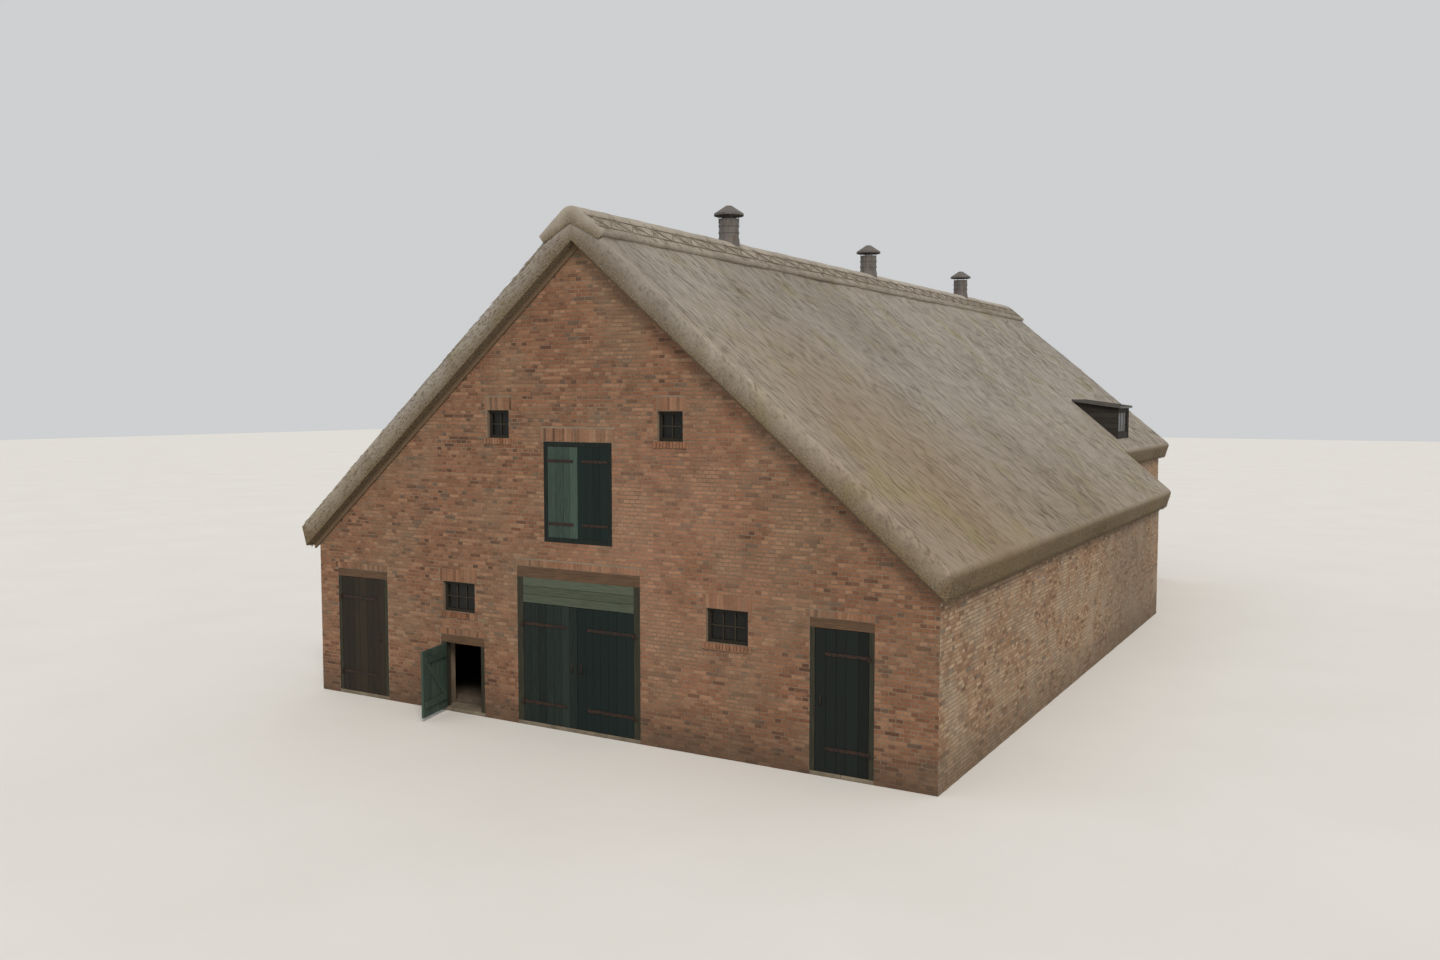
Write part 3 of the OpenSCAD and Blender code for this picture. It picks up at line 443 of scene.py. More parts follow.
def courses(u0, u1, top, holes=()):
    # cross bond: every second course shows headers, and the stretchers shift by half a brick in turn
    rects = []
    for row in range(int(top / (brick["high"] + brick["joint"])) + 1):
        low = row * (brick["high"] + brick["joint"])
        high = min(low + brick["high"], top)
        if high - low < brick["leastHigh"]:
            continue
        length = brick["short"] if row % 2 else brick["long"]
        shift = (brick["short"] + brick["joint"]) * (0.5 if row % 2 else (0.0 if row % 4 else 1.0))
        step = length + brick["joint"]
        for k in range(int((u0 - shift) / step) - 1, int((u1 - shift) / step) + 2):
            spans = [(max(k * step + shift, u0), min(k * step + shift + length, u1), low, high)]
            for h0, h1, g0, g1 in holes:
                kept = []
                for a, b, c, d in spans:
                    if b <= h0 or a >= h1 or d <= g0 or c >= g1:
                        kept.append((a, b, c, d))
                    elif g0 - c > brick["leastSplit"]:
                        kept.append((a, b, c, g0))
                    elif d - g1 > brick["leastSplit"]:
                        kept.append((a, b, g1, d))
                    else:
                        kept += [(a, h0, c, d), (h1, b, c, d)]
                spans = kept
            rects += [(a, b, c, d) for a, b, c, d in spans
                      if b - a > brick["leastCut"] and d - c > brick["leastHigh"]]
    return rects


def soldierRow(u0, u1, v0, height):
    # bricks on end over an opening, or on edge under a window
    count = max(2, round((u1 - u0 + brick["joint"]) / (opening["soldierWide"] + brick["joint"])))
    step = (u1 - u0 + brick["joint"]) / count
    return [(u0 + i * step, u0 + (i + 1) * step - brick["joint"], v0, v0 + height) for i in range(count)]


def wallHoles(places, flip):
    # holes, soldier courses over them and sills under them, in the wall's own direction; a place is its two
    # corners, the height of its soldier course, and whether it has a sill
    holes, soldiers, sills = [], [], []
    for low, high, rowHigh, hasSill in places:
        a, b = sorted((flip * low.x, flip * high.x))
        wide = (a - opening["bearing"], b + opening["bearing"])
        holes += [(a, b, low.z, high.z), (*wide, high.z, high.z + rowHigh + brick["joint"])]
        soldiers += soldierRow(*wide, high.z + brick["joint"] / 2, rowHigh)
        if hasSill:
            holes.append((*wide, low.z - opening["sillHigh"] - brick["joint"], low.z))
            sills += soldierRow(*wide, low.z - opening["sillHigh"], opening["sillHigh"])
    return holes, soldiers, sills


def layBricks(name, wall, face, rects, material, seed, cuts=(), proud=brick["proud"]):
    # face is the distance of the wall's face along its outward direction
    draw = random.Random(seed)
    outward = walls[wall]
    along = Vector((0, 0, 1)).cross(outward)
    template = bmesh.new()
    boxShape(template, (0, 0, 0), (1, 1, 1))  # one brick with its back on the wall
    copies = []
    for a, b, c, d in rects:
        out = proud * draw.uniform(*brick["proudSpread"])
        start = along * a + Vector((0, 0, c)) + outward * (face - brick["bedded"])
        place = placing((along * (b - a), Vector((0, 0, d - c)), outward * (out + brick["bedded"]), start))
        copies.append((place, min(1.0, max(0.0, draw.gauss(0.5, brick["toneSpread"])))))
    mesh = joinCopies(name, template, copies, ["tone"])
    shape = bmesh.new()
    shape.from_mesh(mesh)
    bpy.data.meshes.remove(mesh)
    for side in [f for f in shape.faces if f.normal.dot(outward) > 0.9]:
        middle = side.calc_center_median()
        for vert in side.verts:
            away = vert.co - middle
            eased = [min(abs(x), brick["ease"] * draw.uniform(*brick["easeSpread"])) for x in away]
            vert.co -= Vector([math.copysign(ease, x) for ease, x in zip(eased, away)])
    cutBy(shape, cuts)
    addPiece(name, shape, material, "house", "brick")


frames = loosePartBoxes("window_frames")
frontWindows = [f for f in frames if f[0].y < frontY + 1]
rearWindows = [f for f in frames if f[1].y > rearY - 1]
frontPlaces = [(*f, opening["soldierHigh"], True) for f in frontWindows]
frontPlaces += [(Vector((low.x, low.y, -1.0)), high, opening["soldierHigh"] / 2, False)
                for low, high in loosePartBoxes("door_lintels")]  # doorways are open past the ground
frontPlaces.append((*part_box("hay_door_frame"), opening["soldierHigh"], False))
rearPlaces = [(*f, opening["soldierHigh"], True) for f in rearWindows]
for wall, face, reach, places, flip, seed in (("front", -frontY, houseX, frontPlaces, 1, 11),
                                              ("rear", rearY, rearX, rearPlaces, -1, 21)):
    holes, soldiers, sills = wallHoles(places, flip)
    rects = courses(-reach, reach, apexZ, holes) + soldiers
    layBricks(wall + "Brickwork", wall, face, rects, frontBrick, seed, roofLines)
    layBricks(wall + "SillBricks", wall, face, sills, frontBrick, seed + 1, proud=opening["sillProud"])

for wall, sign, seed in (("right", 1, 31), ("left", -1, 41)):
    stretches = [("Side", wall, houseX, sign * frontY, sign * shoulderY, houseX, ()),
                 ("RearSide", wall, rearX, sign * shoulderY, sign * rearY, rearX, ()),
                 ("Shoulder", "rear", shoulderY, -sign * rearX, -sign * houseX, rearX, roofLines)]
    for index, (label, facing, face, start, end, topX, cuts) in enumerate(stretches):
        rects = courses(*sorted((start, end)), underThatch(topX))
        layBricks(wall + label + "Brickwork", facing, face, rects, sideBrick, seed + index, cuts)
    # mortar behind the bricks closes the wall between the rafters, up to the thatch
    shape = bmesh.new()
    x0, x1 = sorted((sign * rearX, sign * (houseX - 2 * mm)))
    boxShape(shape, (x0, shoulderY - brick["filling"], 0.0), (x1, shoulderY + 1 * mm, underThatch(rearX)))
    cutBy(shape, roofLines)
    addPiece(wall + "ShoulderFilling", shape, limeMortar, "house", "brick")
print("brickwork done")

# rolls and hollows are so many per metre, along the ridge and down the slope
thatch = {"step": 0.075, "slopeStep": 0.13, "eaveRound": 0.12, "roundSteps": 6, "faceSteps": 4, "tone": 0.4,
          "underSteps": (0.3, 0.6, 1.0), "vergeRound": 0.09, "swell": 0.026, "rolls": (0.5, 0.4),
          "groove": 0.012, "hollows": (2.6, 0.6), "tuck": 0.05, "rearShare": 0.33}
up = Vector((math.sin(pitch), math.cos(pitch)))  # square to the right-hand slope, in x and z
down = Vector((math.cos(pitch), -math.sin(pitch)))  # down the right-hand slope
barnLow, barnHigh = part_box("barn_thatch_right")
slabThick = (barnHigh.z - apexZ) * math.cos(pitch)
eaveOut = (apexZ - barnLow.z) / roofRun - houseX
ridgePoint = Vector((0.0, apexZ)) + Vector((0.0, slabThick / math.cos(pitch)))


def inHouse(flat, y=0.0, side=1):
    # a point or direction in x and z, set in the house on its right or left side
    return Vector((side * flat.x, y, flat.y))


def reedLift(y, run, seed):
    # soft rolls and combed hollows of the thatch at a place along the ridge and down the slope
    along, downhill = thatch["rolls"]
    rolls = noise.noise(Vector((y * along + seed, run * downhill, 0.0))) * thatch["swell"]
    along, downhill = thatch["hollows"]
    return rolls + noise.noise(Vector((y * along, run * downhill + seed, 3.0))) * thatch["groove"]


def spread(start, end, step):
    # evenly spaced values from start to end, closer at both ends
    fine = [0.0, 0.01, 0.028, 0.055, 0.09]
    count = max(1, round((end - start - 2 * fine[-1]) / step))
    middle = [start + fine[-1] + (end - start - 2 * fine[-1]) * i / count for i in range(count + 1)]
    return [start + f for f in fine[:-1]] + middle + [end - f for f in reversed(fine[:-1])]


def sweptSkin(outline, ys, spotFor):
    # closed skin: an outline of points with outward directions, swept along Y and closed at both ends
    shape = bmesh.new()
    bmesh.ops.create_grid(shape, x_segments=len(ys) - 1, y_segments=len(outline) - 1, size=0.5)
    shape.verts.index_update()
    toneLayer = shape.verts.layers.float.new("tone")
    cutLayer = shape.verts.layers.float.new("cut")
    for vert in shape.verts:
        row, column = divmod(vert.index, len(ys))
        vert.co = spotFor(ys[column], *outline[row][:2])
        vert[toneLayer] = thatch["tone"]
        vert[cutLayer] = outline[row][2]
    last = len(outline) - 1
    rims = [e for e in shape.edges if {v.index // len(ys) for v in e.verts} in ({0}, {last})]
    bmesh.ops.bridge_loops(shape, edges=rims)
    for side in shape.faces:
        side.smooth = True
    for side in bmesh.ops.triangulate(shape, faces=closeHoles(shape))["faces"]:
        side.smooth = False
    bmesh.ops.recalc_face_normals(shape, faces=shape.faces)
    return shape


def slabOutline(wallX, eaveLow, eaveHigh):
    # from the ridge over the top, round the eave and back under it: point, outward direction, share cut
    lowEnd = Vector((eaveLow, underThatch(eaveLow)))
    topEnd = Vector((eaveHigh, ridgePoint.y - roofRun * eaveHigh))
    faceDown = (lowEnd - topEnd).normalized()
    faceOut = Vector((-faceDown.y, faceDown.x))
    turn = math.acos(max(-1.0, min(1.0, up.dot(faceOut))))
    slope = (topEnd - ridgePoint).length - thatch["eaveRound"] * math.tan(turn / 2)
    count = round(slope / thatch["slopeStep"])
    outline = [(ridgePoint + down * (slope * i / count), up, 0.0) for i in range(count + 1)]
    centre = outline[-1][0] - up * thatch["eaveRound"]
    for i in range(1, thatch["roundSteps"] + 1):
        share = i / thatch["roundSteps"]
        out = (up * math.sin(turn - turn * share) + faceOut * math.sin(turn * share)) / math.sin(turn)
        outline.append((centre + out * thatch["eaveRound"], out, share))
    faceStart = outline[-1][0]
    for i in range(1, thatch["faceSteps"] + 1):
        outline.append((faceStart.lerp(lowEnd, i / thatch["faceSteps"]), faceOut, 1.0))
    inner = Vector((wallX - thatch["tuck"], underThatch(wallX - thatch["tuck"])))
    outline += [(lowEnd.lerp(inner, share), -up, 1.0) for share in thatch["underSteps"]]
    outline.append((Vector((0.0, apexZ)), -up, 1.0))
    return outline, slope, (faceStart, faceDown, faceOut, (lowEnd - faceStart).length)


def spike(sides, root, tip):
    # a slim closed spike or rod, its root at the origin and its tip one unit along Y
    shape = bmesh.new()
    bmesh.ops.create_cone(shape, cap_ends=True, segments=sides, radius1=root, radius2=tip, depth=1.0)
    bmesh.ops.remove_doubles(shape, verts=shape.verts, dist=0.0001)
    bmesh.ops.rotate(shape, verts=shape.verts, matrix=Matrix.Rotation(math.radians(-90), 3, "X"))
    bmesh.ops.translate(shape, verts=shape.verts, vec=(0, 0.5, 0))
    return shape


def addLock(copies, origin, lean, facing, size, *shades):
    # one lock at a place, along lean, lying flat towards facing; size is width, length and thickness
    lean = lean.normalized()
    across = lean.cross(facing).normalized()
    place = placing((across * size[0], lean * size[1], across.cross(lean) * size[2], origin))
    copies.append((place, *shades))


# loose reed on the slopes, the cut ends in the eaves, and the stalks that show at the verges
locks = {"count": 26000, "wide": (0.010, 0.028), "long": (0.10, 0.28), "thick": (0.006, 0.0132),
         "sunk": 0.003, "fromRidge": 0.4, "fromEave": 0.1, "fromEnd": 0.06, "sideways": 0.06,
         "raised": (0.0, 0.07), "tone": (0.05, 0.95)}
eaveEnds = {"count": 6500, "wide": (0.015, 0.036), "long": (0.055, 0.085), "thick": 0.022, "sunk": 0.05,
            "fromEnd": 0.02, "sideways": 0.2, "raised": (-0.25, 0.1)}
fringe = {"perMetre": 300, "stepCount": 480, "wide": (0.0144, 0.0336), "long": (0.07, 0.14), "thick": 0.018,
          "sunk": 0.022, "rounded": 0.06, "fromRidge": 0.35, "fromStep": 0.15, "fromTop": 0.015,
          "fromUnder": 0.02, "outward": (0.18, 0.45), "raised": (-0.08, 0.08), "paintedLightShare": 0.2}


def leanOf(draw, kind, outDown, outUp):
    # down the slope, turned sideways and raised a little
    sideways = draw.uniform(-kind["sideways"], kind["sideways"])
    return outDown + Vector((0, sideways, 0)) + outUp * draw.uniform(*kind["raised"])


def vergeFringe(copies, draw, side, y, facing, runs, count):
    # stalks that show at the end of a slab, from its top to its underside; those on the right are painted
    # paler, as painted light on that verge
    facing = Vector((0, facing, 0))
    outDown, outUp = inHouse(down, 0, side), inHouse(up, 0, side)
    for _ in range(count):
        deep = draw.uniform(fringe["fromTop"], slabThick - fringe["fromUnder"])
        corner = max(0.0, fringe["rounded"] - deep)  # the rounded upper edge falls back
        origin = inHouse(ridgePoint, y, side) + outDown * draw.uniform(*runs) - outUp * deep
        origin -= facing * (fringe["sunk"] + corner)
        lean = outDown + facing * draw.uniform(*fringe["outward"]) + outUp * draw.uniform(*fringe["raised"])
        size = (draw.uniform(*fringe["wide"]), draw.uniform(*fringe["long"]), fringe["thick"])
        # stalk ends on the right-hand verge are painted paler: painted light
        cut = draw.uniform(0.2, 0.7 + deep / slabThick) * (1.0 if side < 0 else fringe["paintedLightShare"])
        addLock(copies, origin, lean, facing, size, draw.random(), cut)


def thatchSlab(name, node, side, wallX, seed, facing, share):
    # one slope of thatch, and the loose locks, cut ends and fringes that stand proud of it
    low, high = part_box(node)
    verge = low.y if facing < 0 else high.y
    outline, slope, eave = slabOutline(wallX, wallX + eaveOut, max(abs(low.x), abs(high.x)))
    faceStart, faceDown, faceOut, faceLong = eave

    def spotFor(y, point, out):
        # the underside stays flat, and the top is rounded off at the verge
        lift = reedLift(y, (point - ridgePoint).dot(down), seed) if out.y > -0.7 else 0.0
        radius, inside = thatch["vergeRound"], abs(y - verge)
        if inside < radius and out.y > 0.2:
            lift -= radius - math.sqrt(radius ** 2 - (radius - inside) ** 2)
        spot = point + out * lift
        return Vector((side * max(spot.x, 0.0), y, spot.y))

    shape = sweptSkin(outline, spread(low.y, high.y, thatch["step"]), spotFor)
    addPiece(name, shape, reedTop, "house", "thatch", (node,))
    draw = random.Random(int(seed * 10))
    copies = []
    outDown, outUp = inHouse(down, 0, side), inHouse(up, 0, side)
    for _ in range(int(locks["count"] * share)):
        run = draw.uniform(locks["fromRidge"], slope - locks["fromEave"])
        y = draw.uniform(low.y + locks["fromEnd"], high.y - locks["fromEnd"])
        lift = reedLift(y, run, seed) - locks["sunk"]
        origin = inHouse(ridgePoint, y, side) + outDown * run + outUp * lift
        lean = leanOf(draw, locks, outDown, outUp)
        size = [draw.uniform(*locks[key]) for key in ("wide", "long", "thick")]
        addLock(copies, origin, lean, outUp, size, draw.uniform(*locks["tone"]), 0.0)
    for _ in range(int(eaveEnds["count"] * share)):
        along = draw.random()
        point = faceStart + faceDown * (faceLong * along) - faceOut * eaveEnds["sunk"]
        y = draw.uniform(low.y + eaveEnds["fromEnd"], high.y - eaveEnds["fromEnd"])
        lean = leanOf(draw, eaveEnds, outDown, outUp)
        size = (draw.uniform(*eaveEnds["wide"]), draw.uniform(*eaveEnds["long"]), eaveEnds["thick"])
        addLock(copies, inHouse(point, y, side), lean, outUp, size, draw.random(),
                draw.uniform(0.2, 0.6 + 0.4 * along))
    runs = (fringe["fromRidge"], slope)
    vergeFringe(copies, draw, side, verge, facing, runs, int(fringe["perMetre"] * slope))
    if facing < 0:  # behind the barn's slope the house steps in
        runs = ((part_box("rear_thatch_right")[1].x - fringe["fromStep"]) / math.cos(pitch), slope)
        vergeFringe(copies, draw, side, high.y, 1, runs, fringe["stepCount"])
    mesh = joinCopies(name + "Locks", spike(3, 0.5, 0.0), copies)
    addPiece(name + "Locks", mesh, reedTop, "house", "thatch")


for label, side, seed in (("Right", 1, 3.1), ("Left", -1, 7.3)):
    node = "_thatch_" + label.lower()
    thatchSlab("barnThatch" + label, "barn" + node, side, houseX, seed, -1, 1.0)
    thatchSlab("rearThatch" + label, "rear" + node, side, rearX, seed, 1, thatch["rearShare"])

ridge = {"crest": 0.25, "thick": 0.07, "sunk": 0.05, "past": 0.015, "step": 0.08, "slopeSteps": 5,
         "crestSteps": 4, "swell": 0.018, "humps": (1.7, 1.3), "rags": (6.0, 2.0), "ragShare": 0.6,
         "ragged": 0.03, "wander": 3.0, "level": 0.3}
capLow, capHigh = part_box("ridge_cap")
crestCentre = Vector((0.0, capHigh.z - ridge["crest"]))
capSlope = (capHigh.x - ridge["crest"] * up.x) / down.x


def strawLift(y, run):
    # never below the solid cap, so that the ventilators stay seated
    humps, rags = [0.5 + 0.5 * noise.noise(Vector((y * along, run * downhill, layer)))
                   for (along, downhill), layer in ((ridge["humps"], 5.0), (ridge["rags"], 9.0))]
    return (humps + ridge["ragShare"] * rags) * ridge["swell"]


def capPoint(side, run):
    # place and outward direction on the cap, a run down its left or right slope; less than 0 is on the crest
    turn = pitch + min(run, 0.0) / ridge["crest"]
    out = Vector((side * math.sin(turn), math.cos(turn)))
    return crestCentre + out * ridge["crest"] + Vector((side * down.x, down.y)) * max(run, 0.0), out


def onCap(side, run, y, lift):
    # place and direction on the straw of the ridge cap
    point, out = capPoint(side, run)
    facing = inHouse(out)
    return inHouse(point, y) + facing * (strawLift(y, point.x) + lift), facing


def capSpot(y, point, out):
    # the cap's lower edges wander in and out along the slope
    lift = strawLift(y, point.x) if out.y > 0 else 0.0
    wander = noise.noise(Vector((y * ridge["wander"], 1.0 if point.x > 0 else 7.0, 2.0)))
    reach = 1.0 + wander * ridge["ragged"] / capHigh.x
    spot = point + out * lift
    drop = 0.0 if abs(point.x) < ridge["level"] else (abs(spot.x) * (reach - 1)) * roofRun
    return Vector((spot.x * reach, y, spot.y - drop))


crestArc = ridge["crest"] * pitch
capRuns = [capSlope * (1 - i / ridge["slopeSteps"]) for i in range(ridge["slopeSteps"])]
capRuns += [-crestArc * i / ridge["crestSteps"] for i in range(ridge["crestSteps"] + 1)]
outline = [(*capPoint(1, run), 0.0) for run in capRuns]
outline += [(*capPoint(-1, run), 0.0) for run in reversed(capRuns[:-1])]
under = [capPoint(side, capSlope) for side in (-1, 1)]
under = [(point - out * (ridge["thick"] + ridge["sunk"]), -out, 1.0) for point, out in under]
outline += [under[0], (crestCentre, Vector((0, -1)), 1.0), under[1]]
ys = spread(capLow.y - ridge["past"], capHigh.y + ridge["past"], ridge["step"])
shape = sweptSkin(outline, ys, capSpot)
addPiece("ridgeStrawCap", shape, ridgeStraw, "house", "ridge", ("ridge_cap",))

straw = {"count": 11000, "wide": (0.010, 0.028), "long": (0.10, 0.22), "crestLong": 0.11, "thick": 0.014,
         "sunk": 0.003, "fromEdge": 0.08, "fromEnd": 0.03, "sideways": 0.25, "bow": (0.02, 0.10),
         "crestBow": (-0.30, -0.16), "cut": (0, 0.25)}
draw = random.Random(91)
copies = []
for _ in range(straw["count"]):
    side = draw.choice((-1, 1))
    run = draw.uniform(-crestArc, capSlope - straw["fromEdge"])
    y = draw.uniform(capLow.y + straw["fromEnd"], capHigh.y - straw["fromEnd"])
    origin, facing = onCap(side, run, y, -straw["sunk"])
    bow = draw.uniform(*straw["bow" if run > 0 else "crestBow"])  # bent over the crest
    sideways = draw.uniform(-straw["sideways"], straw["sideways"])
    lean = Vector((side * facing.z, sideways, -abs(facing.x))) + facing * bow
    wide = draw.uniform(*straw["wide"])
    size = (wide, draw.uniform(*straw["long"]) if run > 0 else straw["crestLong"], straw["thick"])
    addLock(copies, origin, lean, facing, size, draw.random(), draw.uniform(*straw["cut"]))
mesh = joinCopies("ridgeStrawLocks", spike(3, 0.5, 0.0), copies)
addPiece("ridgeStrawLocks", mesh, ridgeStraw, "house", "ridge")

# two rows of hazel rods along each side of the ridge, and thinner ones that zigzag between them
rod = {"thick": 0.024, "crossThick": 0.018, "step": 0.60, "runs": (0.16, 0.44), "lap": 0.03, "fromEnd": 0.05,
       "lift": 0.006}
copies = []
upper, lower = rod["runs"]
for side in (-1, 1):
    for i in range(round((capHigh.y - capLow.y - 2 * rod["fromEnd"]) / rod["step"])):
        y0 = capLow.y + rod["fromEnd"] + i * rod["step"]
        y1 = min(y0 + rod["step"] + rod["lap"], capHigh.y - rod["fromEnd"])
        middle = (y0 + y1) / 2
        laid = [(upper, y0, upper, y1, rod["thick"]), (lower, y0, lower, y1, rod["thick"]),
                (upper, y0, lower, middle, rod["crossThick"]), (lower, middle, upper, y1, rod["crossThick"])]
        for runA, yA, runB, yB, thick in laid:
            start, facing = onCap(side, runA, yA, rod["lift"])
            along = onCap(side, runB, yB, rod["lift"])[0] - start
            addLock(copies, start, along, facing, (thick, along.length, thick), draw.random())
mesh = joinCopies("ridgeHazelRods", spike(6, 0.5, 0.42), copies, ["tone"])
addPiece("ridgeHazelRods", mesh, hazelRods, "house", "ridge")
print("thatch done")

boards = {"width": 0.150, "headWidth": 0.14, "wander": 0.12, "gap": 0.004, "stagger": 0.003, "ease": 0.003,
          "nail": 0.007, "nailProud": 0.003, "nailApart": (0.03, 0.035)}


def boarded(pieces, ease, turn=None):
    # boards as eased boxes, each with its own shade; a piece is its two corners, its shade and its lean in x
    shape = bmesh.new()
    layer = shape.verts.layers.float.new("tone")
    for low, high, shade, *lean in pieces:
        for vert in boxShape(shape, low, high):
            vert[layer] = shade
            if lean and vert.co.z > (low[2] + high[2]) / 2:
                vert.co.x += lean[0]
    easeEdges(shape, ease)
    if turn is not None:
        bmesh.ops.transform(shape, matrix=turn, verts=shape.verts)
    return shape


def rowOfBoards(low, high, axis, draw, width, stagger=boards["stagger"]):
    # boards side by side along an axis between two corners
    span = high[axis] - low[axis]
    count = max(2, round(span / width))
    wander = boards["wander"]
    cuts = [low[axis] + span * (i + (draw.uniform(-wander, wander) if 0 < i < count else 0)) / count
            for i in range(count + 1)]
    made = []
    for a, b in zip(cuts, cuts[1:]):
        first, last = list(low), list(high)
        first[axis] = a + (boards["gap"] / 2 if a > cuts[0] else 0)
        last[axis] = b - (boards["gap"] / 2 if b < cuts[-1] else 0)
        first[1] += draw.uniform(0, stagger)
        made.append((first, last, draw.random()))
    return made


def studs(name, spots, radius, proud, body, turn=None):
    # domed heads on a face that looks along -Y
    shape = bmesh.new()
    for spot in spots:
        made = bmesh.ops.create_uvsphere(shape, u_segments=8, v_segments=5, radius=radius)["verts"]
        bmesh.ops.scale(shape, verts=made, vec=(1, proud / radius, 1))
        bmesh.ops.translate(shape, verts=made, vec=spot)
    if turn is not None:
        bmesh.ops.transform(shape, matrix=turn, verts=shape.verts)
    addPiece(name, shape, ironStraps, body, "iron", smooth=True)


strap = {"rivet": 0.011, "rivetProud": 0.005, "rivets": 5, "fromRoot": 0.08, "fromTip": 0.03,
         "fromEdge": 0.025, "proud": 0.0075}
handle = {"up": 0.5, "fromEdge": 0.09, "sunk": 0.004, "radius": 0.060, "thick": 0.008,
          "stretch": (1, 0.65, 1.3)}
leaf = {"thick": 0.040, "ledgeHigh": 0.110, "ledgeInset": 0.060, "ledgeShares": (0.14, 0.80)}
# body, leaf, hinges, boards, slot, degrees it stands open at rest, 1 if it hangs on its left edge or -1, seed
leaves = {
    "leftDoor": ("left_door", "left_door_leaf", "left_door_hinges", brownBoards, "brown_boards", 0.0, 1, 71),
    "lowDoor": ("low_door", "low_door_leaf", "low_door_hinges", fadedGreen, "worn_green", 76.0, 1, 72),
    "barnDoorLeft": ("barn_door_left", "barn_leaf_left", "barn_leaf_left_hinges", barnGreen, "barn_green",
                     0.0, 1, 73),
    "barnDoorRight": ("barn_door_right", "barn_leaf_right", "barn_leaf_right_hinges", tealGreen, "barn_green",
                      0.0, -1, 74),
    "rightDoor": ("right_door", "right_door_leaf", "right_door_hinges", doorGreen, "barn_green", 0.0, -1, 75),
}
hingePlaces = {j["child"]: Vector(j["pos_m"]) for j in frame["joints"]}


def shutBox(node, unturn):
    # a node's box with its door shut
    corners = np.array([unturn @ v.co for v in nodes[node].data.vertices])
    return Vector(corners.min(0)), Vector(corners.max(0))


def pullHandle(spot, turn):
    # half ring of round iron, both ends in the door
    shape = bmesh.new()
    ring = bmesh.ops.create_circle(shape, segments=8, radius=handle["thick"])["verts"]
    bmesh.ops.rotate(shape, verts=ring, matrix=Matrix.Rotation(math.radians(90), 3, "X"))
    bmesh.ops.translate(shape, verts=ring, vec=(0, 0, handle["radius"]))
    bmesh.ops.spin(shape, geom=shape.verts[:] + shape.edges[:], cent=(0, 0, 0), axis=(1, 0, 0), angle=math.pi,
                   steps=12, use_merge=False, use_duplicate=False)
    bmesh.ops.scale(shape, verts=shape.verts, vec=handle["stretch"])
    closeHoles(shape)
    bmesh.ops.recalc_face_normals(shape, faces=shape.faces)
    bmesh.ops.translate(shape, verts=shape.verts, vec=spot)
    bmesh.ops.transform(shape, matrix=turn, verts=shape.verts)
    return shape


for name, (body, leafNode, hingeNode, material, slotName, openAngle, side, seed) in leaves.items():
    draw = random.Random(seed)
    pin = hingePlaces[body]
    turn = (Matrix.Translation(pin) @ Matrix.Rotation(math.radians(-side * openAngle), 4, "Z")
            @ Matrix.Translation(-pin))
    low, high = shutBox(leafNode, turn.inverted())
    face = high.copy()
    face.y = low.y + leaf["thick"]
    rows = rowOfBoards(low, face, 0, draw, boards["width"])
    ledges = [low.z + share * (high.z - low.z) for share in leaf["ledgeShares"]]
    inner = (low.x + leaf["ledgeInset"], high.x - leaf["ledgeInset"])
    pieces = rows + [((inner[0], face.y, z), (inner[1], high.y, z + leaf["ledgeHigh"]), draw.random())
                     for z in ledges]
    near = inner[0] if side > 0 else inner[1] - leaf["ledgeHigh"]
    foot, head = (near, face.y, ledges[0] + leaf["ledgeHigh"]), (near + leaf["ledgeHigh"], high.y, ledges[1])
    pieces.append((foot, head, draw.random(), side * (inner[1] - inner[0] - leaf["ledgeHigh"])))
    addPiece(name + "Boards", boarded(pieces, boards["ease"], turn), material, body, slotName, (leafNode,))
    dx, dz = boards["nailApart"]
    spots = [((a[0] + b[0]) / 2 + way * dx, low.y, z + leaf["ledgeHigh"] / 2 - way * dz) for a, b, _ in rows
             for z in ledges for way in (-1, 1)]
    studs(name + "Nails", spots, boards["nail"], boards["nailProud"], body, turn)
    strapLow, strapHigh = shutBox(hingeNode, turn.inverted())
    root, tip = (strapLow.x, strapHigh.x)[::side]
    start, stop = root + side * strap["fromRoot"], tip - side * strap["fromTip"]
    spots = [(start + (stop - start) * i / (strap["rivets"] - 1), low.y - strap["proud"], z)
             for i in range(strap["rivets"])
             for z in (strapLow.z + strap["fromEdge"], strapHigh.z - strap["fromEdge"])]
    studs(name + "Rivets", spots, strap["rivet"], strap["rivetProud"], body, turn)
    handleX = (low.x, high.x)[::side][1] - side * handle["fromEdge"]
    spot = (handleX, low.y + handle["sunk"], low.z + handle["up"] * (high.z - low.z))
    addPiece(name + "Handle", pullHandle(spot, turn), ironStraps, body, "iron", smooth=True)

draw = random.Random(81)
low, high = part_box("barn_head_panel")
shape = boarded(rowOfBoards(low, high, 2, draw, boards["headWidth"]), boards["ease"])
addPiece("barnHeadBoards", shape, headGrey, "house", "worn_green", ("barn_head_panel",))

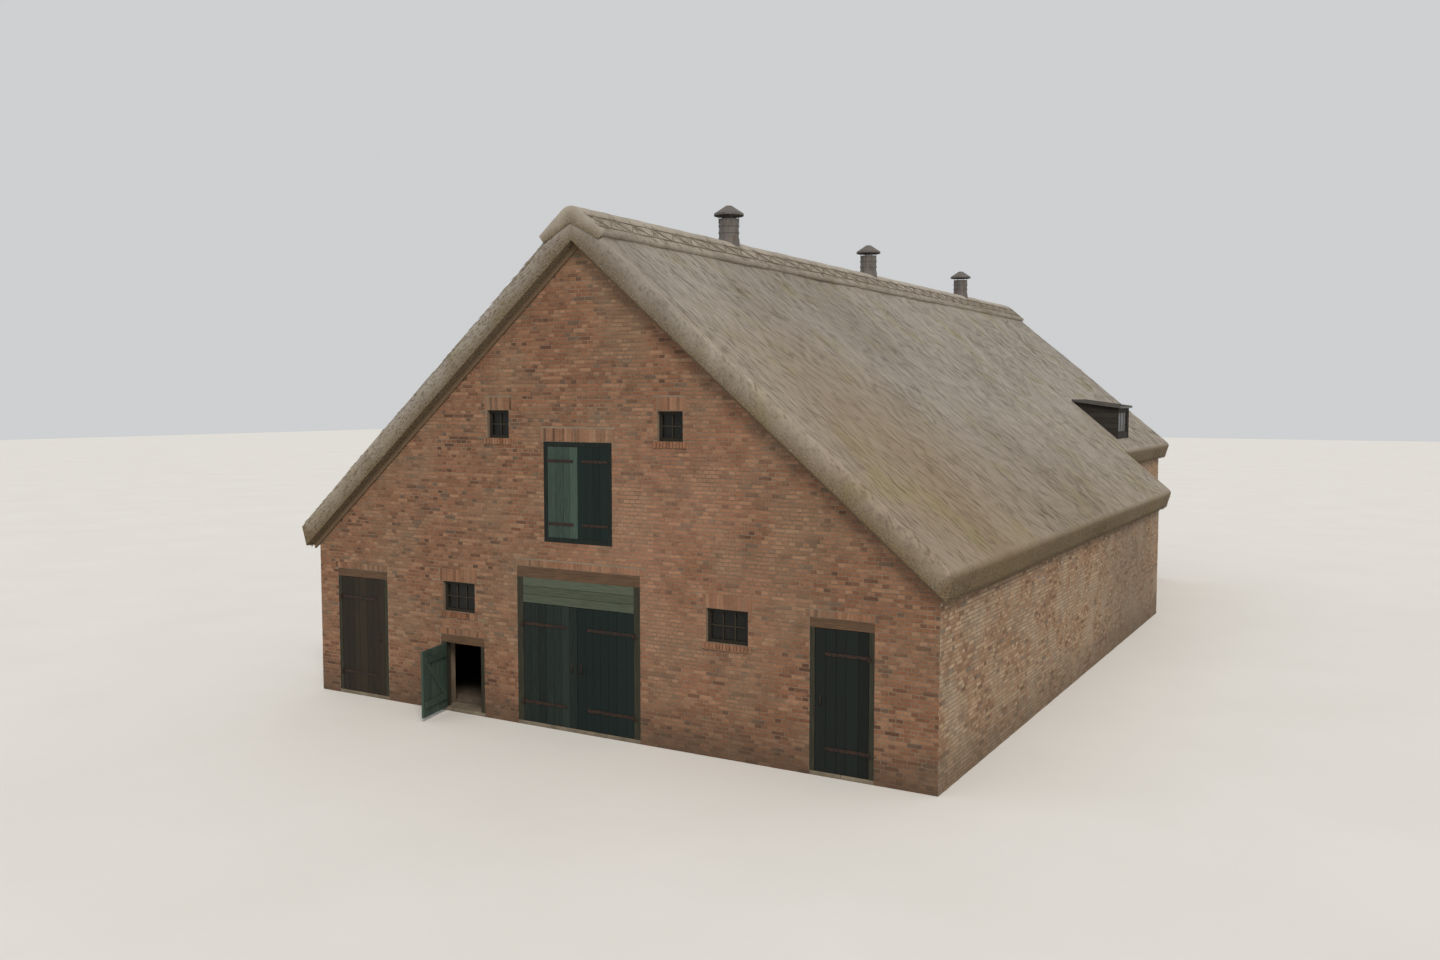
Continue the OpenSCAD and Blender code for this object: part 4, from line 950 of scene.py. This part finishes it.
hay = {"strapHigh": 0.045, "strapThick": 0.006, "strapEase": 0.001, "strapShort": 0.08, "fromFoot": 0.2,
       "fromTop": 0.25, "rivets": 4}
hayLeaves = [("hayDoorLeftBoards", fadedGreen, ("hay_door_leaves",), (0.0, -hay["strapShort"])),
             ("hayDoorRightBoards", tealGreen, (), (hay["strapShort"], 0.0))]
for (name, material, replaced, ends), (low, high) in zip(hayLeaves, loosePartBoxes("hay_door_leaves")):
    shape = boarded(rowOfBoards(low, high, 0, draw, boards["width"]), boards["ease"])
    addPiece(name, shape, material, "house", "worn_green", replaced)
    start, stop = low.x + ends[0], high.x + ends[1]
    heights = (low.z + hay["fromFoot"], high.z - hay["fromTop"])
    front = low.y - hay["strapThick"]
    straps = [((start, front, z), (stop, low.y, z + hay["strapHigh"]), 0.5) for z in heights]
    addPiece(name + "Straps", boarded(straps, hay["strapEase"]), ironStraps, "house", "iron")
    spots = [(start + (stop - start) * (i + 0.5) / hay["rivets"], front, z + hay["strapHigh"] / 2)
             for i in range(hay["rivets"]) for z in heights]
    studs(name + "Rivets", spots, strap["rivet"], strap["rivetProud"], "house")
print("doors done")

threshold = {"long": 0.62, "ease": 0.008, "proud": 0.012, "stagger": 0.006}
draw = random.Random(85)
pieces = []
for low, high in loosePartBoxes("thresholds"):
    first = (low.x, low.y - threshold["proud"], low.z)
    pieces += rowOfBoards(first, high, 0, draw, threshold["long"], threshold["stagger"])
shape = boarded(pieces, threshold["ease"])
addPiece("thresholdStones", shape, stepStone, "house", "floor_brick", ("thresholds",))

bar = {"wide": 0.022, "inset": 0.05, "back": 0.012, "cross": 0.003, "ease": 0.002, "dormerBack": 0.002,
       "wideWindow": 0.6}
half = bar["wide"] / 2
pieces = []
for low, high in frontWindows + rearWindows:
    columns = 3 if high.x - low.x > bar["wideWindow"] else 2
    x0, x1, z0, z1 = low.x + bar["inset"], high.x - bar["inset"], low.z + bar["inset"], high.z - bar["inset"]
    y0, y1 = low.y + bar["back"], high.y - bar["back"]
    for i in range(1, columns):
        x = x0 + (x1 - x0) * i / columns
        pieces.append(((x - half, y0, z0), (x + half, y1, z1), 0.5))
    z = (z0 + z1) / 2
    pieces.append(((x0, y0 + bar["cross"], z - half), (x1, y1 - bar["cross"], z + half), 0.6))
addPiece("windowBars", boarded(pieces, bar["ease"]), sashPaint, "house", "sash_paint")

low, high = next(f for f in frames if f not in frontWindows and f not in rearWindows)
pieces = []
for i in (1, 2):
    y = low.y + (high.y - low.y) * i / 3
    pieces.append(((low.x + bar["dormerBack"], y - half, low.z + bar["inset"]),
                   (high.x - bar["dormerBack"], y + half, high.z - bar["inset"]), 0.5))
addPiece("dormerWindowBars", boarded(pieces, bar["ease"]), sashPaint, "house", "sash_paint")
print("windows done")

dormer = {"board": 0.14, "thick": 0.018, "leanIn": 0.6, "seams": 5, "seamHigh": 0.022, "seamWide": 0.014,
          "seamEase": 0.003, "seamSunk": 0.001, "underReed": 0.03}
cheekLow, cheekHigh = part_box("dormer_cheeks")
roofLow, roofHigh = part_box("dormer_roof")
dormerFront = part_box("dormer_front")
sheetThick = dormerFront[1].x - dormerFront[0].x
dormerRun = (roofHigh.z - roofLow.z - sheetThick) / (roofHigh.x - roofLow.x)
shape = bmesh.new()
layer = shape.verts.layers.float.new("tone")
draw = random.Random(95)
for y0, y1 in ((cheekLow.y - dormer["thick"], cheekLow.y), (cheekHigh.y, cheekHigh.y + dormer["thick"])):
    for i in range(math.ceil((cheekHigh.z - cheekLow.z) / dormer["board"])):
        z = cheekLow.z + i * dormer["board"]
        shade = draw.random()
        end = (cheekHigh.x + dormer["thick"], y1, z + dormer["board"])
        for vert in boxShape(shape, (cheekLow.x, y0, z), end):
            vert[layer] = shade
            if vert.co.z > z + dormer["board"] / 2:  # lapped boards lean in at the top
                inward = 1 if vert.co.y < cheekLow.y else (-1 if vert.co.y > cheekHigh.y else 0)
                vert.co.y += dormer["leanIn"] * dormer["thick"] * inward
cutBy(shape, [((roofLow.x, 0, roofHigh.z - sheetThick), (dormerRun, 0, 1)),
              ((0, 0, ridgePoint.y - dormer["underReed"]), (-roofRun, 0, -1))])
addPiece("dormerCladding", shape, dormerBoards, "house", "dark_boards")

shape = bmesh.new()
half = dormer["seamWide"] / 2
for i in range(dormer["seams"]):
    y = roofLow.y + (roofHigh.y - roofLow.y) * i / (dormer["seams"] - 1)
    y = min(max(y, roofLow.y + half), roofHigh.y - half)
    for vert in boxShape(shape, (roofLow.x, y - half, 0), (roofHigh.x, y + half, dormer["seamHigh"])):
        vert.co.z += roofHigh.z - dormer["seamSunk"] - dormerRun * (vert.co.x - roofLow.x)
easeEdges(shape, dormer["seamEase"])
addPiece("dormerRoofSeams", shape, dormerSheet, "house", "dark_boards")


def hoopRound(shape, centre, inner, lowOuter, highOuter, low, high):
    # closed hoop or skirt round an upright pipe
    section = ((inner, low), (lowOuter, low), (highOuter, high), (inner, high))
    corners = [shape.verts.new((centre.x + r, centre.y, z)) for r, z in section]
    edges = [shape.edges.new(pair) for pair in zip(corners, corners[1:] + corners[:1])]
    bmesh.ops.spin(shape, geom=corners + edges, cent=centre, axis=(0, 0, 1), angle=2 * math.pi, steps=32,
                   use_merge=True, use_duplicate=False)


hoop = {"sunk": 0.002, "proud": 0.012, "high": 0.035, "places": (0.17, 0.30), "skirt": 0.035,
        "skirtPlaces": (-0.14, 0.085)}
shape = bmesh.new()
for low, high in loosePartBoxes("ventilator_pipes"):
    middle = (low + high) / 2
    inside = (high.x - low.x) / 2 - hoop["sunk"]
    outside = inside + hoop["proud"]
    for place in hoop["places"]:
        z = capHigh.z + place
        hoopRound(shape, middle, inside, outside, outside, z, z + hoop["high"])
    # a sheet skirt seats the pipe on the straw and closes its foot
    z0, z1 = [capHigh.z + place for place in hoop["skirtPlaces"]]
    hoopRound(shape, middle, inside, inside + hoop["skirt"], outside, z0, z1)
bmesh.ops.recalc_face_normals(shape, faces=shape.faces)
addPiece("ventilatorHoops", shape, ventSheet, "house", "ventilator_metal")
print("dormer and ventilators done")

studio = {"halfWidth": 150, "below": 0.002}
floorMaterial, add, coords = newMaterial("paleStudioFloor")
tint = patches(add, coords, 3.0, 0.2, 0.8)
tint = add("ValToRGB", {"Fac": tint, "stops": [(0.0, "#dcdad5"), (1.0, "#e2e0dc")]})
surface(add, tint, 0.9, patches(add, coords, 0.05, 0.2, 0.8), 0.2 * mm)
shape = bmesh.new()
bmesh.ops.create_grid(shape, x_segments=1, y_segments=1, size=studio["halfWidth"])
floorPlane = newObject("studioFloor", meshFrom("studioFloor", shape))
floorPlane.data.materials.append(floorMaterial)
floorPlane.location.z = -studio["below"]

light = {"sunStrength": 1.95, "sunSoftness": 20, "sunDirection": (0.55, -0.62, 0.70), "skyStrength": 0.72}
sun = bpy.data.lights.new("softSun", "SUN")
sun.energy = light["sunStrength"]
sun.angle = math.radians(light["sunSoftness"])
sun.color = linear("#fff6ea")[:3]
sunDirection = Vector(light["sunDirection"]).to_track_quat("Z", "Y")
newObject("softSun", sun).rotation_euler = sunDirection.to_euler()
world = bpy.data.worlds.new("paleSky")
world.use_nodes = True
sky = world.node_tree.nodes["Background"]
sky.inputs["Color"].default_value = linear("#eef0f2")
sky.inputs["Strength"].default_value = light["skyStrength"]
scene.world = world

view = {"place": (11.363, -26.311, 5.39), "pitch": 86.1, "yaw": 30.2, "focalPixels": 1183, "photoWidth": 1440}
camera = bpy.data.cameras.new("photoCamera")
camera.lens = camera.sensor_width * view["focalPixels"] / view["photoWidth"]
camera.clip_end = 500
cameraObject = newObject("photoCamera", camera)
cameraObject.location = view["place"]
cameraObject.rotation_euler = (math.radians(view["pitch"]), 0, math.radians(view["yaw"]))
bpy.context.scene.camera = cameraObject
bpy.context.scene.view_settings.view_transform = "Standard"
print("stage done")
